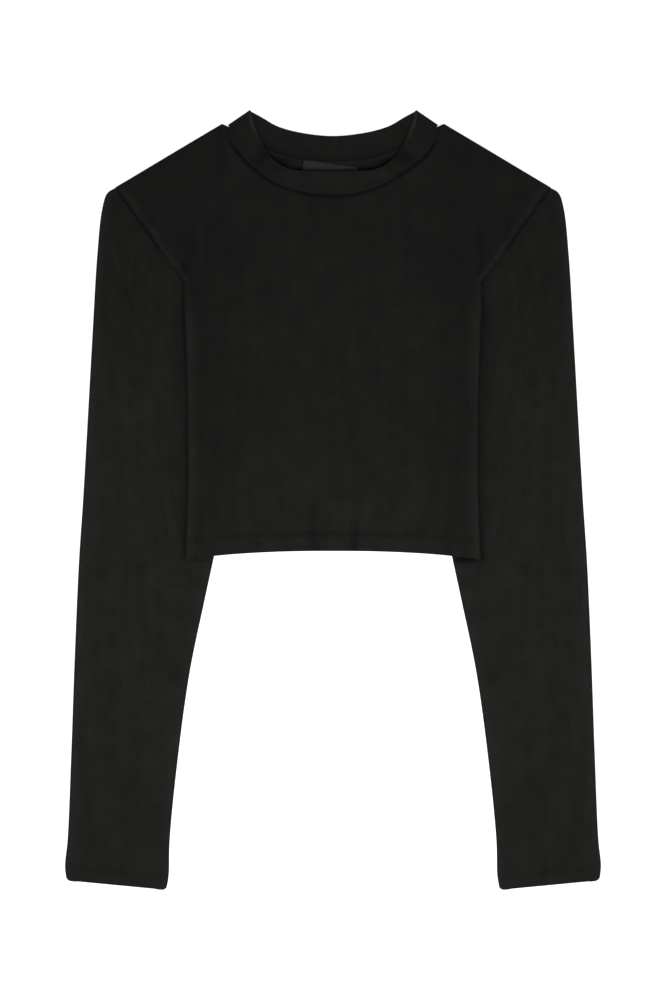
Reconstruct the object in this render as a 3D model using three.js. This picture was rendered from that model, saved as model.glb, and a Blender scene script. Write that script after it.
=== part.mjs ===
// A black long-sleeved mock-neck crop top in stretch jersey, laid flat on its back.
// Millimetres. X runs across the body, Y towards the neck and Z up from the surface it lies on.
// The origin is on that surface, under the middle of the whole outline.
// "out" is a distance from the centre line to either side, and "up" is a Y value.
// The sides of the body are folded under along a straight line, so the sleeves come out from below it.

import * as THREE from 'three';

// Cloth
const CLOTH = 1.0; // one ply of jersey
const BAND_WALL = 1.6; // two plies pressed together
const LABEL_WALL = 1.0;
const SEAM_GAP = 0.3; // between pieces at a seam, and between plies that lie on each other
const SLACK = 0.9; // air between the lower and the upper ply where the cloth is not folded
const PLY_STEP = CLOTH + SEAM_GAP;

// Mid heights of the plies, from the surface up
const LOW_PLY = CLOTH / 2;
const HIGH_PLY = LOW_PLY + CLOTH + SLACK;
const FRONT_STRIP = HIGH_PLY + PLY_STEP;
const BACK_STRIP = FRONT_STRIP + PLY_STEP;
const BACK_OVER = BACK_STRIP + PLY_STEP;
const FRONT_OVER = BACK_OVER + PLY_STEP;

// Body outline
const HEM_MID_UP = -44.6;
const HEM_DROP = 7.1; // how much lower the hem is at the side fold than in the middle
const HEM_POWER = 2.4;
const WAIST = { out: 126.1, up: 35 };
const HEM_CORNER = { out: 128.5, up: -51.7 };
const HEM_LOW_LINE = 13.5; // the two rows of hem stitching, above the edge
const HEM_HIGH_LINE = 16.1;
const HEM_EXTRA = 0.4; // how far the turned-up cloth stands proud of the ply above it
const ARMHOLE_FOOT = { out: 130.0, up: 187.5 }; // where the armhole seam meets the side fold
const STRIP_TOP_UP = 157; // the side fold begins here, below the armhole foot
const SIDE_SEAM = { out: 77.4, up: 113.5 }; // underarm end of the hidden side seam
const SHOULDER_TIP = { out: 189.4, up: 271.2 };
const NECK_POINT = { out: 96.6, up: 326.8 }; // neck end of the shoulder seam
const NECK_START = { out: 92.5, up: 325.2 };
const SHOULDER_PINCH = (SLACK - SEAM_GAP) / 2; // each ply leans this far to the other at the shoulder seam

// The armhole seam from its foot to the shoulder
const ARMHOLE = [
  { out: 130.0, up: 187.5 },
  { out: 134.6, up: 195.0 },
  { out: 147.4, up: 211.6 },
  { out: 160.6, up: 231.6 },
  { out: 174.2, up: 250.4 },
  { out: 189.4, up: 271.2 },
];

// The neck band from the side fold to the middle: its seam and its free edge
const NECK_NOTCH = { out: 91.4, up: 326.0 };
const NECK_PEAK = { out: 72.2, up: 339.1 };
const FRONT_NECK = [
  { seamOut: 91.6, seamUp: 315.3, edgeOut: 69.7, edgeUp: 329.6 },
  { seamOut: 79.3, seamUp: 296.8, edgeOut: 63.0, edgeUp: 313.8 },
  { seamOut: 61.2, seamUp: 284.0, edgeOut: 53.4, edgeUp: 297.4 },
  { seamOut: 40.5, seamUp: 271.9, edgeOut: 38.0, edgeUp: 287.6 },
  { seamOut: 18.3, seamUp: 265.0, edgeOut: 19.0, edgeUp: 285.9 },
  { seamOut: 0.0, seamUp: 263.8, edgeOut: 0.0, edgeUp: 285.6 },
];
const BACK_NECK = [
  { seamOut: 76.0, seamUp: 315.4, edgeOut: 61.5, edgeUp: 332.4 },
  { seamOut: 60.0, seamUp: 307.4, edgeOut: 49.0, edgeUp: 325.2 },
  { seamOut: 36.5, seamUp: 298.9, edgeOut: 30.5, edgeUp: 319.8 },
  { seamOut: 0.0, seamUp: 295.5, edgeOut: 0.0, edgeUp: 316.4 },
];
const BAND_RISE = 0.9; // the front of the band stands off the cloth below it
const BAND_RISE_BY = 0.4; // share of the band's height over which it rises
const BAND_RISE_ENDS = 0.15;

// The sleeve from the armhole to the cuff: its outer edge and its inner edge
const SLEEVE = [
  { outerOut: 189.8, outerUp: 271.0, innerOut: 77.4, innerUp: 116.4 },
  { outerOut: 196.6, outerUp: 266.6, innerOut: 78.4, innerUp: 108.0 },
  { outerOut: 200.9, outerUp: 252.9, innerOut: 80.6, innerUp: 92.0 },
  { outerOut: 205.1, outerUp: 212.0, innerOut: 85.2, innerUp: 56.0 },
  { outerOut: 208.8, outerUp: 150.0, innerOut: 91.4, innerUp: 16.0 },
  { outerOut: 213.2, outerUp: 72.0, innerOut: 98.2, innerUp: -24.0 },
  { outerOut: 217.4, outerUp: -0.2, innerOut: 104.7, innerUp: -55.0 },
  { outerOut: 221.0, outerUp: -54.0, innerOut: 111.8, innerUp: -88.0 },
  { outerOut: 224.8, outerUp: -139.4, innerOut: 124.6, innerUp: -150.0 },
  { outerOut: 227.9, outerUp: -226.4, innerOut: 135.1, innerUp: -226.4 },
  { outerOut: 230.9, outerUp: -296.0, innerOut: 142.0, innerUp: -296.0 },
  { outerOut: 233.1, outerUp: -318.0, innerOut: 142.9, innerUp: -327.0 },
  { outerOut: 231.9, outerUp: -330.9, innerOut: 144.9, innerUp: -339.17 },
];
const SLEEVE_LONG_STEP = 30; // stretches of the outer edge longer than this get a ring in the middle
const SLEEVE_LOFT = 1.1; // extra air in a sleeve beside the body
const LOFT_FROM = { out: 134, up: -58 }; // the loft starts outside this line, or below this one
const LOFT_OVER = 24;
const LOFT_ENDS = 0.25; // share of a ring, at either edge, over which the loft begins
const CUFF_CORNER = 1.1; // how far each cuff corner is drawn in
const ARMHOLE_BEND_FADE = 6; // how soon the rings forget the bent line of the armhole
const FOOT_CLEAR = { out: 0.8, up: 1 }; // the sleeve's end stays this clear of the fold's upper end

// The label lies askew on the back, under the front of the band
const LABEL = { width: 47, height: 15, x: -3.0, up: 285.0, turn: THREE.MathUtils.degToRad(-7.9) };

// The body rises over the folded strips: across between two distances out, and below a slanted line
const RISE_ACROSS = { from: 40, to: 68 };
const RISE_LINE = { up: 165, at: 128, slope: 0.77, fade: 24 };

// Broad creases that show on the front: place, half length, half width, lean and height
const FRONT_CREASES = [
  { x: -30, up: 30, long: 95, wide: 22, lean: 0, rise: 0.8 },
  { x: -59, up: 125, long: 95, wide: 12, lean: 1, rise: -0.4 },
  { x: 64, up: 172, long: 60, wide: 12, lean: -2, rise: -0.4 },
  { x: 30, up: 95, long: 120, wide: 20, lean: 3, rise: 0.6 },
  { x: -18, up: -18, long: 45, wide: 9, lean: 2, rise: -0.7 },
  { x: 20, up: -30, long: 30, wide: 9, lean: -3, rise: -0.5 },
  { x: -118, up: 215, long: 36, wide: 11, lean: -14, rise: -0.4 },
];

// Numbers of faces
const SHOULDER_PARTS = 4;
const NECK_PARTS = 16;
const MAIN_PARTS = NECK_PARTS + 2 * SHOULDER_PARTS;
const ROLL_PARTS = 4; // half of them are above the fold's outermost line
const STRIP_PARTS = 3;
const HEM_ROWS = 2; // from the hem's edge to its upper stitch line
const LOWER_ROWS = 13; // hem rows included
const MIDDLE_ROWS = 3;
const ARMHOLE_ROWS = 6;
const BAND_ROWS = 4;
const HIDDEN_END_PARTS = 3;
const CUFF_RINGS = 2; // the last rings down the sleeve carry the turned-up cuff
const LIP_SHARE = 0.5; // the lips' columns fill this share of the first step along the shoulder
const UPPER_SIDE = 0.7; // a normal with a larger Z than this faces up

const jersey = () => new THREE.MeshStandardMaterial({ color: 0x1d1d1d, roughness: 0.9, metalness: 0 });
const ribbon = () => new THREE.MeshStandardMaterial({ color: 0x343434, roughness: 0.7, metalness: 0 });

const { lerp, smoothstep, degToRad } = THREE.MathUtils;
const flat = (out, up) => new THREE.Vector2(out, up);

// A smooth line through points of the plan
function smoothLine(points) {
  return new THREE.CatmullRomCurve3(points.map((point) => new THREE.Vector3(point.x, point.y, 0)));
}

function spread(curve, parts) {
  return curve.getSpacedPoints(parts).map((point) => flat(point.x, point.y));
}

// How far each point of a line has to move to stand a gap away from it, on the side away from a centre
function movedOff(points, gap, centre) {
  return points.map((point, index) => {
    const before = points[Math.max(index - 1, 0)];
    const after = points[Math.min(index + 1, points.length - 1)];
    const normal = flat(after.y - before.y, before.x - after.x).normalize();
    if (normal.dot(point.clone().sub(centre)) < 0) normal.negate();
    return point.clone().addScaledVector(normal, gap);
  });
}

// The lift of the body over the folded strips, from 0 to 1
function bodyLift(out, up) {
  const across = smoothstep(out, RISE_ACROSS.from, RISE_ACROSS.to);
  const line = RISE_LINE.up + (out - RISE_LINE.at) * RISE_LINE.slope;
  return across * (1 - smoothstep(up, line, line + RISE_LINE.fade));
}

function creaseHeight(creases, x, up, lift) {
  let height = 0;
  for (const crease of creases) {
    const lean = degToRad(crease.lean);
    const dx = x - crease.x;
    const dy = up - crease.up;
    const across = (dx * Math.cos(lean) + dy * Math.sin(lean)) / crease.wide;
    const along = (dy * Math.cos(lean) - dx * Math.sin(lean)) / crease.long;
    height += crease.rise * Math.exp(-across * across - along * along);
  }
  return height < 0 ? height * (1 - lift) : height;
}

// Outline of the side fold and of the hem
function sideOut(up) {
  if (up < WAIST.up) {
    return lerp(WAIST.out, HEM_CORNER.out, ((WAIST.up - up) / (WAIST.up - HEM_CORNER.up)) ** 2);
  }
  return lerp(WAIST.out, ARMHOLE_FOOT.out, ((up - WAIST.up) / (ARMHOLE_FOOT.up - WAIST.up)) ** 2);
}

function hemUp(out) {
  return HEM_MID_UP - HEM_DROP * (out / HEM_CORNER.out) ** HEM_POWER;
}

// A sheet is a list of points and of four-sided faces
class Sheet {
  constructor() {
    this.points = [];
    this.extras = [];
    this.faces = [];
    this.index = new Map();
  }

  // extra is how much the cloth is thicker here on its upper side
  put(key, point, extra = 0) {
    this.index.set(key, this.points.length);
    this.points.push(point);
    this.extras.push(extra);
  }

  has(...keys) {
    return keys.every((key) => this.index.has(key));
  }

  face(...keys) {
    this.faces.push(keys.map((key) => this.index.get(key)));
  }

  vertexNormals() {
    const normals = this.points.map(() => new THREE.Vector3());
    for (const face of this.faces) {
      const [a, b, c, d] = face.map((index) => this.points[index]);
      const normal = c.clone().sub(a).cross(d.clone().sub(b));
      face.forEach((index) => normals[index].add(normal));
    }
    return normals.map((normal) => normal.normalize());
  }

  edges() {
    const open = new Map();
    for (const face of this.faces) {
      face.forEach((from, index) => {
        const to = face[(index + 1) % face.length];
        if (!open.delete(`${to}_${from}`)) open.set(`${from}_${to}`, [from, to]);
      });
    }
    return [...open.values()];
  }

  // The closed wall of a given thickness that has this sheet in its middle
  wall(thickness) {
    const normals = this.vertexNormals();
    const count = this.points.length;
    const positions = [];
    for (const side of [1, -1]) {
      this.points.forEach((point, index) => {
        const extra = side * normals[index].z > UPPER_SIDE ? this.extras[index] : 0;
        positions.push(...point.clone().addScaledVector(normals[index], side * (thickness / 2 + extra)));
      });
    }
    const triangles = [];
    for (const [a, b, c, d] of this.faces) {
      triangles.push([a, b, c], [a, c, d]);
      triangles.push([a + count, c + count, b + count], [a + count, d + count, c + count]);
    }
    for (const [from, to] of this.edges()) {
      triangles.push([to, from, from + count], [to, from + count, to + count]);
    }
    return closedGeometry(positions, triangles);
  }
}

function closedGeometry(positions, triangles) {
  const corner = (index) => new THREE.Vector3().fromArray(positions, index * 3);
  let volume = 0;
  for (const [a, b, c] of triangles) volume += corner(a).dot(corner(b).cross(corner(c)));
  const outward = volume > 0 ? triangles : triangles.map(([a, b, c]) => [a, c, b]);
  const geometry = new THREE.BufferGeometry();
  geometry.setAttribute('position', new THREE.Float32BufferAttribute(positions, 3));
  geometry.setIndex(outward.flat());
  geometry.computeVertexNormals();
  return geometry;
}

// A ply of the body: how high its middle, its folded strip and its neck edge lie
const FRONT = {
  low: HIGH_PLY,
  over: FRONT_OVER,
  strip: FRONT_STRIP,
  pinch: -SHOULDER_PINCH,
  creases: FRONT_CREASES,
  hem: HEM_EXTRA,
};
const BACK = {
  low: LOW_PLY,
  over: BACK_OVER,
  strip: BACK_STRIP,
  pinch: SHOULDER_PINCH,
  creases: [],
  hem: 0,
};
const FOLD_RADIUS = (FRONT_OVER - FRONT_STRIP + CLOTH) / 2; // outside of the front's fold

function plyHeight(ply, x, up) {
  const lift = bodyLift(Math.abs(x), up);
  return lerp(ply.low, ply.over, lift) + creaseHeight(ply.creases, x, up, lift);
}

// The neck seam and the free edge of the band, from the fold on the -X side to the other fold
function neckLines(rows) {
  const turn = flat(NECK_PEAK.out - NECK_NOTCH.out, NECK_PEAK.up - NECK_NOTCH.up).normalize();
  const outward = flat(turn.y, -turn.x);
  const radius = (HIGH_PLY - LOW_PLY + BAND_WALL) / 2;
  const seamStart = flat(NECK_NOTCH.out, NECK_NOTCH.up).addScaledVector(outward, -radius);
  const edgeStart = flat(NECK_PEAK.out, NECK_PEAK.up).addScaledVector(outward, -radius);
  const seam = [seamStart, ...rows.map((row) => flat(row.seamOut, row.seamUp))];
  const edge = [edgeStart, ...rows.map((row) => flat(row.edgeOut, row.edgeUp))];
  const whole = (half) => {
    const left = half.map((point) => flat(-point.x, point.y));
    return spread(smoothLine([...left, ...half.slice(0, -1).reverse()]), NECK_PARTS);
  };
  return { seam: whole(seam), edge: whole(edge), outward };
}

const neckLinesOf = new Map([
  [FRONT, neckLines(FRONT_NECK)],
  [BACK, neckLines(BACK_NECK)],
]);

// The armhole seam from its foot to the shoulder tip
const armholeLine = spread(smoothLine(ARMHOLE.map((row) => flat(row.out, row.up))), ARMHOLE_ROWS);

// The upper edge of a body ply: shoulder, neck, shoulder
function topLine(ply) {
  const tip = flat(SHOULDER_TIP.out, SHOULDER_TIP.up);
  const neckPoint = flat(NECK_POINT.out, NECK_POINT.up);
  const straight = SHOULDER_PARTS - 1;
  const shoulder = Array.from({ length: SHOULDER_PARTS }, (_, index) =>
    tip.clone().lerp(neckPoint, index / straight)
  );
  const seam = movedOff(neckLinesOf.get(ply).seam, SEAM_GAP, flat(0, NECK_PEAK.up)).slice(1, -1);
  const left = [...shoulder, flat(NECK_START.out, NECK_START.up)].map((point) => flat(-point.x, point.y));
  const right = left.map((point) => flat(-point.x, point.y)).reverse();
  return [...left, ...seam, ...right];
}

// Columns of a body ply from the -X side to the other: strip, fold, lip, main, lip, fold, strip
function bodyColumns() {
  const half = ROLL_PARTS / 2;
  const columns = [];
  for (let part = STRIP_PARTS; part > 0; part -= 1) columns.push({ side: -1, strip: part / STRIP_PARTS });
  for (let part = ROLL_PARTS; part > 0; part -= 1) columns.push({ side: -1, turn: part / ROLL_PARTS });
  for (let part = 0; part <= MAIN_PARTS; part += 1) columns.push({ main: (2 * part) / MAIN_PARTS - 1 });
  for (let part = 1; part <= ROLL_PARTS; part += 1) columns.push({ side: 1, turn: part / ROLL_PARTS });
  for (let part = 1; part <= STRIP_PARTS; part += 1) columns.push({ side: 1, strip: part / STRIP_PARTS });
  return { columns, first: STRIP_PARTS + half, last: columns.length - 1 - STRIP_PARTS - half };
}

// How far up a row lies, as a share of the way from the hem to the top of the strips
function rowShare(row) {
  const length = STRIP_TOP_UP - HEM_MID_UP;
  if (row === 0) return 0;
  if (row === 1) return HEM_LOW_LINE / length;
  const start = HEM_HIGH_LINE / length;
  return lerp(start, 1, (row - HEM_ROWS) / (LOWER_ROWS - HEM_ROWS));
}

// A point of a body ply below the armhole foot, at a share of the way from the hem to a height
function lowerPoint(ply, column, share, topUp) {
  if (column.main !== undefined) {
    const rough = lerp(hemUp(Math.abs(column.main) * WAIST.out), topUp, share);
    const x = column.main * (sideOut(rough) - FOLD_RADIUS);
    const up = lerp(hemUp(Math.abs(x)), topUp, share);
    return new THREE.Vector3(x, up, plyHeight(ply, x, up));
  }
  const angle = Math.PI * (column.turn ?? 1);
  const radius = (ply.over - ply.strip) / 2;
  const seamTop = lerp(topUp, SIDE_SEAM.up, column.strip ?? 0);
  const hem = hemUp(lerp(HEM_CORNER.out, SIDE_SEAM.out, column.strip ?? 0));
  const up = lerp(hem, seamTop, share);
  const foldOut = sideOut(up) - FOLD_RADIUS;
  const lift = bodyLift(foldOut, up);
  const level = lerp(ply.low, ply.over, lift);
  if (column.strip !== undefined) {
    return new THREE.Vector3(column.side * lerp(foldOut, SIDE_SEAM.out, column.strip), up, ply.strip);
  }
  const reach = lerp(FOLD_RADIUS, radius, lift);
  const out = foldOut + reach * Math.sin(angle);
  return new THREE.Vector3(column.side * out, up, level - radius * lift * (1 - Math.cos(angle)));
}

// The part of a body ply above the armhole foot, spanned between its four edges
function upperPoint(ply, bottom, top, across, up) {
  const side = armholeLine[up];
  const u = across / (bottom.length - 1);
  const v = up / ARMHOLE_ROWS;
  const point = bottom[across].clone().multiplyScalar(1 - v).addScaledVector(top[across], v);
  point.addScaledVector(flat(-side.x, side.y), 1 - u).addScaledVector(side, u);
  const lastTop = top[top.length - 1];
  const lastBottom = bottom[bottom.length - 1];
  point.addScaledVector(bottom[0], -(1 - u) * (1 - v)).addScaledVector(lastBottom, -u * (1 - v));
  point.addScaledVector(top[0], -(1 - u) * v).addScaledVector(lastTop, -u * v);
  const shoulder = up === ARMHOLE_ROWS && Math.abs(point.x) > NECK_START.out;
  const height = plyHeight(ply, point.x, point.y) + (shoulder ? ply.pinch : 0);
  return new THREE.Vector3(point.x, point.y, height);
}

function bodyPly(ply) {
  const sheet = new Sheet();
  const { columns, first, last } = bodyColumns();
  const middleTop = LOWER_ROWS + MIDDLE_ROWS;
  columns.forEach((column, index) => {
    for (let row = 0; row <= LOWER_ROWS; row += 1) {
      const extra = row < HEM_ROWS && column.main !== undefined ? ply.hem : 0;
      sheet.put(`${index}_${row}`, lowerPoint(ply, column, rowShare(row), STRIP_TOP_UP), extra);
    }
    if (index < first || index > last) return;
    for (let row = 1; row <= MIDDLE_ROWS; row += 1) {
      const topUp = lerp(STRIP_TOP_UP, ARMHOLE_FOOT.up, row / MIDDLE_ROWS);
      sheet.put(`${index}_${LOWER_ROWS + row}`, lowerPoint(ply, column, 1, topUp));
    }
  });
  const bottom = [];
  for (let index = first; index <= last; index += 1) {
    const point = sheet.points[sheet.index.get(`${index}_${middleTop}`)];
    bottom.push(flat(point.x, point.y));
  }
  const top = topWithLips(topLine(ply), ROLL_PARTS / 2);
  for (let index = first; index <= last; index += 1) {
    for (let row = 1; row <= ARMHOLE_ROWS; row += 1) {
      sheet.put(`${index}_${middleTop + row}`, upperPoint(ply, bottom, top, index - first, row));
    }
  }
  for (let index = 0; index < columns.length - 1; index += 1) {
    for (let row = 0; row < middleTop + ARMHOLE_ROWS; row += 1) {
      const keys = [`${index}_${row}`, `${index + 1}_${row}`, `${index + 1}_${row + 1}`, `${index}_${row + 1}`];
      if (sheet.has(...keys)) sheet.face(...keys);
    }
  }
  return sheet;
}

// The lips of the side folds run on to the shoulder as narrow columns beside the armhole
function topWithLips(top, parts) {
  const narrow = (from, to) => Array.from({ length: parts }, (_, index) =>
    from.clone().lerp(to, (LIP_SHARE * (index + 1)) / (parts + 1))
  );
  const left = narrow(top[0], top[1]);
  const right = left.map((point) => flat(-point.x, point.y)).reverse();
  return [top[0], ...left, ...top.slice(1, -1), ...right, top[top.length - 1]];
}

// The end of the sleeve under the body: along the armhole, down beside the fold and in to the underarm
function sleeveTop() {
  const seam = movedOff([...armholeLine].reverse(), SEAM_GAP, flat(0, ARMHOLE_FOOT.up));
  const foot = flat(ARMHOLE_FOOT.out + FOOT_CLEAR.out, STRIP_TOP_UP + FOOT_CLEAR.up);
  const underarm = flat(SLEEVE[0].innerOut, SLEEVE[0].innerUp);
  const hidden = Array.from({ length: HIDDEN_END_PARTS }, (_, index) =>
    foot.clone().lerp(underarm, (index + 1) / HIDDEN_END_PARTS)
  );
  return [...seam, foot, ...hidden];
}

function sleeveStations() {
  const stations = [0];
  for (let row = 1; row < SLEEVE.length; row += 1) {
    const step = SLEEVE[row - 1].outerUp - SLEEVE[row].outerUp;
    if (step > SLEEVE_LONG_STEP) stations.push(row - 0.5);
    stations.push(row);
  }
  return stations.map((station) => station / (SLEEVE.length - 1));
}

function sleeveHeight(out, up) {
  const beside = smoothstep(out, LOFT_FROM.out, LOFT_FROM.out + LOFT_OVER);
  const below = smoothstep(-up, -LOFT_FROM.up, -LOFT_FROM.up + LOFT_OVER);
  return HIGH_PLY + SLEEVE_LOFT * Math.max(beside, below);
}

// One sleeve, a flattened tube with a ring of points for each station down the arm
function sleeve(side) {
  const sheet = new Sheet();
  const end = sleeveTop();
  const lengths = end.map((point, index) => (index ? point.distanceTo(end[index - 1]) : 0));
  const total = lengths.reduce((sum, length) => sum + length, 0);
  let run = 0;
  const shares = lengths.map((length) => (run += length) / total);
  const outer = smoothLine(SLEEVE.map((row) => flat(row.outerOut, row.outerUp)));
  const inner = smoothLine(SLEEVE.map((row) => flat(row.innerOut, row.innerUp)));
  const edgeRadius = (HIGH_PLY - LOW_PLY + CLOTH) / 2;
  const stations = sleeveStations();
  stations.forEach((station, ring) => {
    const outerAt = flat(outer.getPoint(station).x, outer.getPoint(station).y);
    const innerAt = flat(inner.getPoint(station).x, inner.getPoint(station).y);
    const across = innerAt.clone().sub(outerAt).normalize();
    const corner = ring === stations.length - 1 ? CUFF_CORNER : 0;
    const extra = ring >= stations.length - CUFF_RINGS ? HEM_EXTRA : 0;
    const from = outerAt.clone().addScaledVector(across, edgeRadius + corner);
    const to = innerAt.clone().addScaledVector(across, -edgeRadius - corner);
    const plan = shares.map((share, index) => {
      const straight = from.clone().lerp(to, share);
      const bend = end[index].clone().sub(end[0].clone().lerp(end[end.length - 1], share));
      return straight.addScaledVector(bend, (1 - station) ** ARMHOLE_BEND_FADE);
    });
    ringPoints(plan, across, edgeRadius - CLOTH / 2).forEach((point, index) => {
      const hem = index > 0 && index < shares.length - 1 ? extra : 0;
      sheet.put(`${index}_${ring}`, new THREE.Vector3(side * point.x, point.y, point.z), hem);
    });
  });
  closeRings(sheet, 2 * (shares.length - 1) + 2 * ROLL_PARTS, stations.length);
  return sheet;
}

// Upper ply from the outer to the inner edge, the fold, the lower ply back, and the outer fold
function ringPoints(plan, across, radius) {
  const last = plan.length - 1;
  const centre = LOW_PLY + radius;
  const heights = plan.map((point, index) => {
    const fade = Math.min(1, index / last / LOFT_ENDS, (last - index) / last / LOFT_ENDS);
    return lerp(HIGH_PLY, sleeveHeight(point.x, point.y), fade);
  });
  const points = plan.map((point, index) => new THREE.Vector3(point.x, point.y, heights[index]));
  for (let part = 1; part < ROLL_PARTS; part += 1) {
    const angle = (Math.PI * part) / ROLL_PARTS;
    const at = plan[last].clone().addScaledVector(across, radius * Math.sin(angle));
    points.push(new THREE.Vector3(at.x, at.y, centre + radius * Math.cos(angle)));
  }
  for (let index = last; index >= 0; index -= 1) {
    points.push(new THREE.Vector3(plan[index].x, plan[index].y, LOW_PLY));
  }
  for (let part = ROLL_PARTS - 1; part > 0; part -= 1) {
    const angle = (Math.PI * part) / ROLL_PARTS;
    const at = plan[0].clone().addScaledVector(across, -radius * Math.sin(angle));
    points.push(new THREE.Vector3(at.x, at.y, centre + radius * Math.cos(angle)));
  }
  return points;
}

function closeRings(sheet, around, rings) {
  for (let ring = 0; ring < rings - 1; ring += 1) {
    for (let index = 0; index < around; index += 1) {
      const next = (index + 1) % around;
      sheet.face(`${index}_${ring}`, `${next}_${ring}`, `${next}_${ring + 1}`, `${index}_${ring + 1}`);
    }
  }
}

// The neck band, a ring of doubled cloth that lies flat with a fold at each side of the neck
function neckBand() {
  const sheet = new Sheet();
  const low = BAND_WALL / 2;
  const radius = (HIGH_PLY - LOW_PLY) / 2;
  const front = neckLinesOf.get(FRONT);
  const back = neckLinesOf.get(BACK);
  for (let ring = 0; ring <= BAND_ROWS; ring += 1) {
    const share = ring / BAND_ROWS;
    const rise = BAND_RISE * smoothstep(share, 0, BAND_RISE_BY);
    const arc = (lines) => lines.seam.map((point, index) => point.clone().lerp(lines.edge[index], share));
    const frontArc = arc(front).map((point, index) => {
      const ends = Math.min(index, NECK_PARTS - index) / NECK_PARTS;
      const height = low + 2 * radius + rise * smoothstep(ends, 0, BAND_RISE_ENDS);
      return new THREE.Vector3(point.x, point.y, height);
    });
    const backArc = arc(back).map((point) => new THREE.Vector3(point.x, point.y, low)).reverse();
    const fold = (start, side) => Array.from({ length: ROLL_PARTS - 1 }, (_, index) => {
      const angle = (Math.PI * (index + 1)) / ROLL_PARTS;
      const reach = radius * Math.sin(angle);
      const height = low + radius + radius * Math.cos(angle);
      return new THREE.Vector3(
        start.x + side * front.outward.x * reach,
        start.y + front.outward.y * reach,
        height
      );
    });
    const right = fold(frontArc[NECK_PARTS], 1);
    const left = fold(frontArc[0], -1).reverse();
    [...frontArc, ...right, ...backArc, ...left].forEach((point, index) => {
      sheet.put(`${index}_${ring}`, point);
    });
  }
  closeRings(sheet, 2 * NECK_PARTS + 2 * ROLL_PARTS, BAND_ROWS + 1);
  return sheet;
}

function label() {
  const geometry = new THREE.BoxGeometry(LABEL.width, LABEL.height, LABEL_WALL);
  const mesh = new THREE.Mesh(geometry, ribbon());
  mesh.position.set(LABEL.x, LABEL.up, CLOTH + SEAM_GAP + LABEL_WALL / 2);
  mesh.rotation.z = LABEL.turn;
  mesh.name = 'label';
  return mesh;
}

function cloth(name, sheet, thickness) {
  const mesh = new THREE.Mesh(sheet.wall(thickness), jersey());
  mesh.name = name;
  return mesh;
}

const cropTop = new THREE.Group();
cropTop.add(cloth('front', bodyPly(FRONT), CLOTH));
cropTop.add(cloth('back', bodyPly(BACK), CLOTH));
cropTop.add(cloth('sleeve_right', sleeve(-1), CLOTH));
cropTop.add(cloth('sleeve_left', sleeve(1), CLOTH));
cropTop.add(cloth('neck_band', neckBand(), BAND_WALL));
cropTop.add(label());

export default cropTop;
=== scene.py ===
"""Dresses a black long-sleeved mock-neck crop top that lies flat, front up, on a white surface.

Sizes are in millimetres in the row's frame: X across the body, Y towards the neck and Z up.
"out" is a distance from the centre line to either side, and "up" is a Y value.
"""

from __future__ import annotations

import logging
import math
from collections.abc import Iterable, Sequence
from dataclasses import dataclass, field
from enum import Enum
from functools import lru_cache

import bmesh
import bpy
import numpy as np
from mathutils import Matrix, Vector

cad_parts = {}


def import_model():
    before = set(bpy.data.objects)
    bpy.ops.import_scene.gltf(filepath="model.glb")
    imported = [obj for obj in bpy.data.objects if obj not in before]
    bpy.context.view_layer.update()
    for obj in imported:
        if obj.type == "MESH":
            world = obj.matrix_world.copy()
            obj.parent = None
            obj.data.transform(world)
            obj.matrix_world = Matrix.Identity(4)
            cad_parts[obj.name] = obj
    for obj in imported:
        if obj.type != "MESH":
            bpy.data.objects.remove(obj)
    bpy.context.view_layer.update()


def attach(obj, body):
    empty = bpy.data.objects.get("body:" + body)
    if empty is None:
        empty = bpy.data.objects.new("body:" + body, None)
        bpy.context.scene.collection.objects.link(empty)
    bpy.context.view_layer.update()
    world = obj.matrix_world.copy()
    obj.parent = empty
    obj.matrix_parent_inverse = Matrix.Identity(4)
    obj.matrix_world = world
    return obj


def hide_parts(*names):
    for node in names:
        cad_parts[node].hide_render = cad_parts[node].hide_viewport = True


LOG = logging.getLogger("crop_top")
MM = 0.001
BODY = "root"
Array = np.ndarray


class Side(Enum):
    """The wearer's right is at -X and the left at +X."""

    RIGHT = -1
    LEFT = 1


class Zone(Enum):
    """What a column of a body ply belongs to, from the middle outwards."""

    MAIN = "main"
    FOLD = "fold"
    STRIP = "strip"


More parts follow.
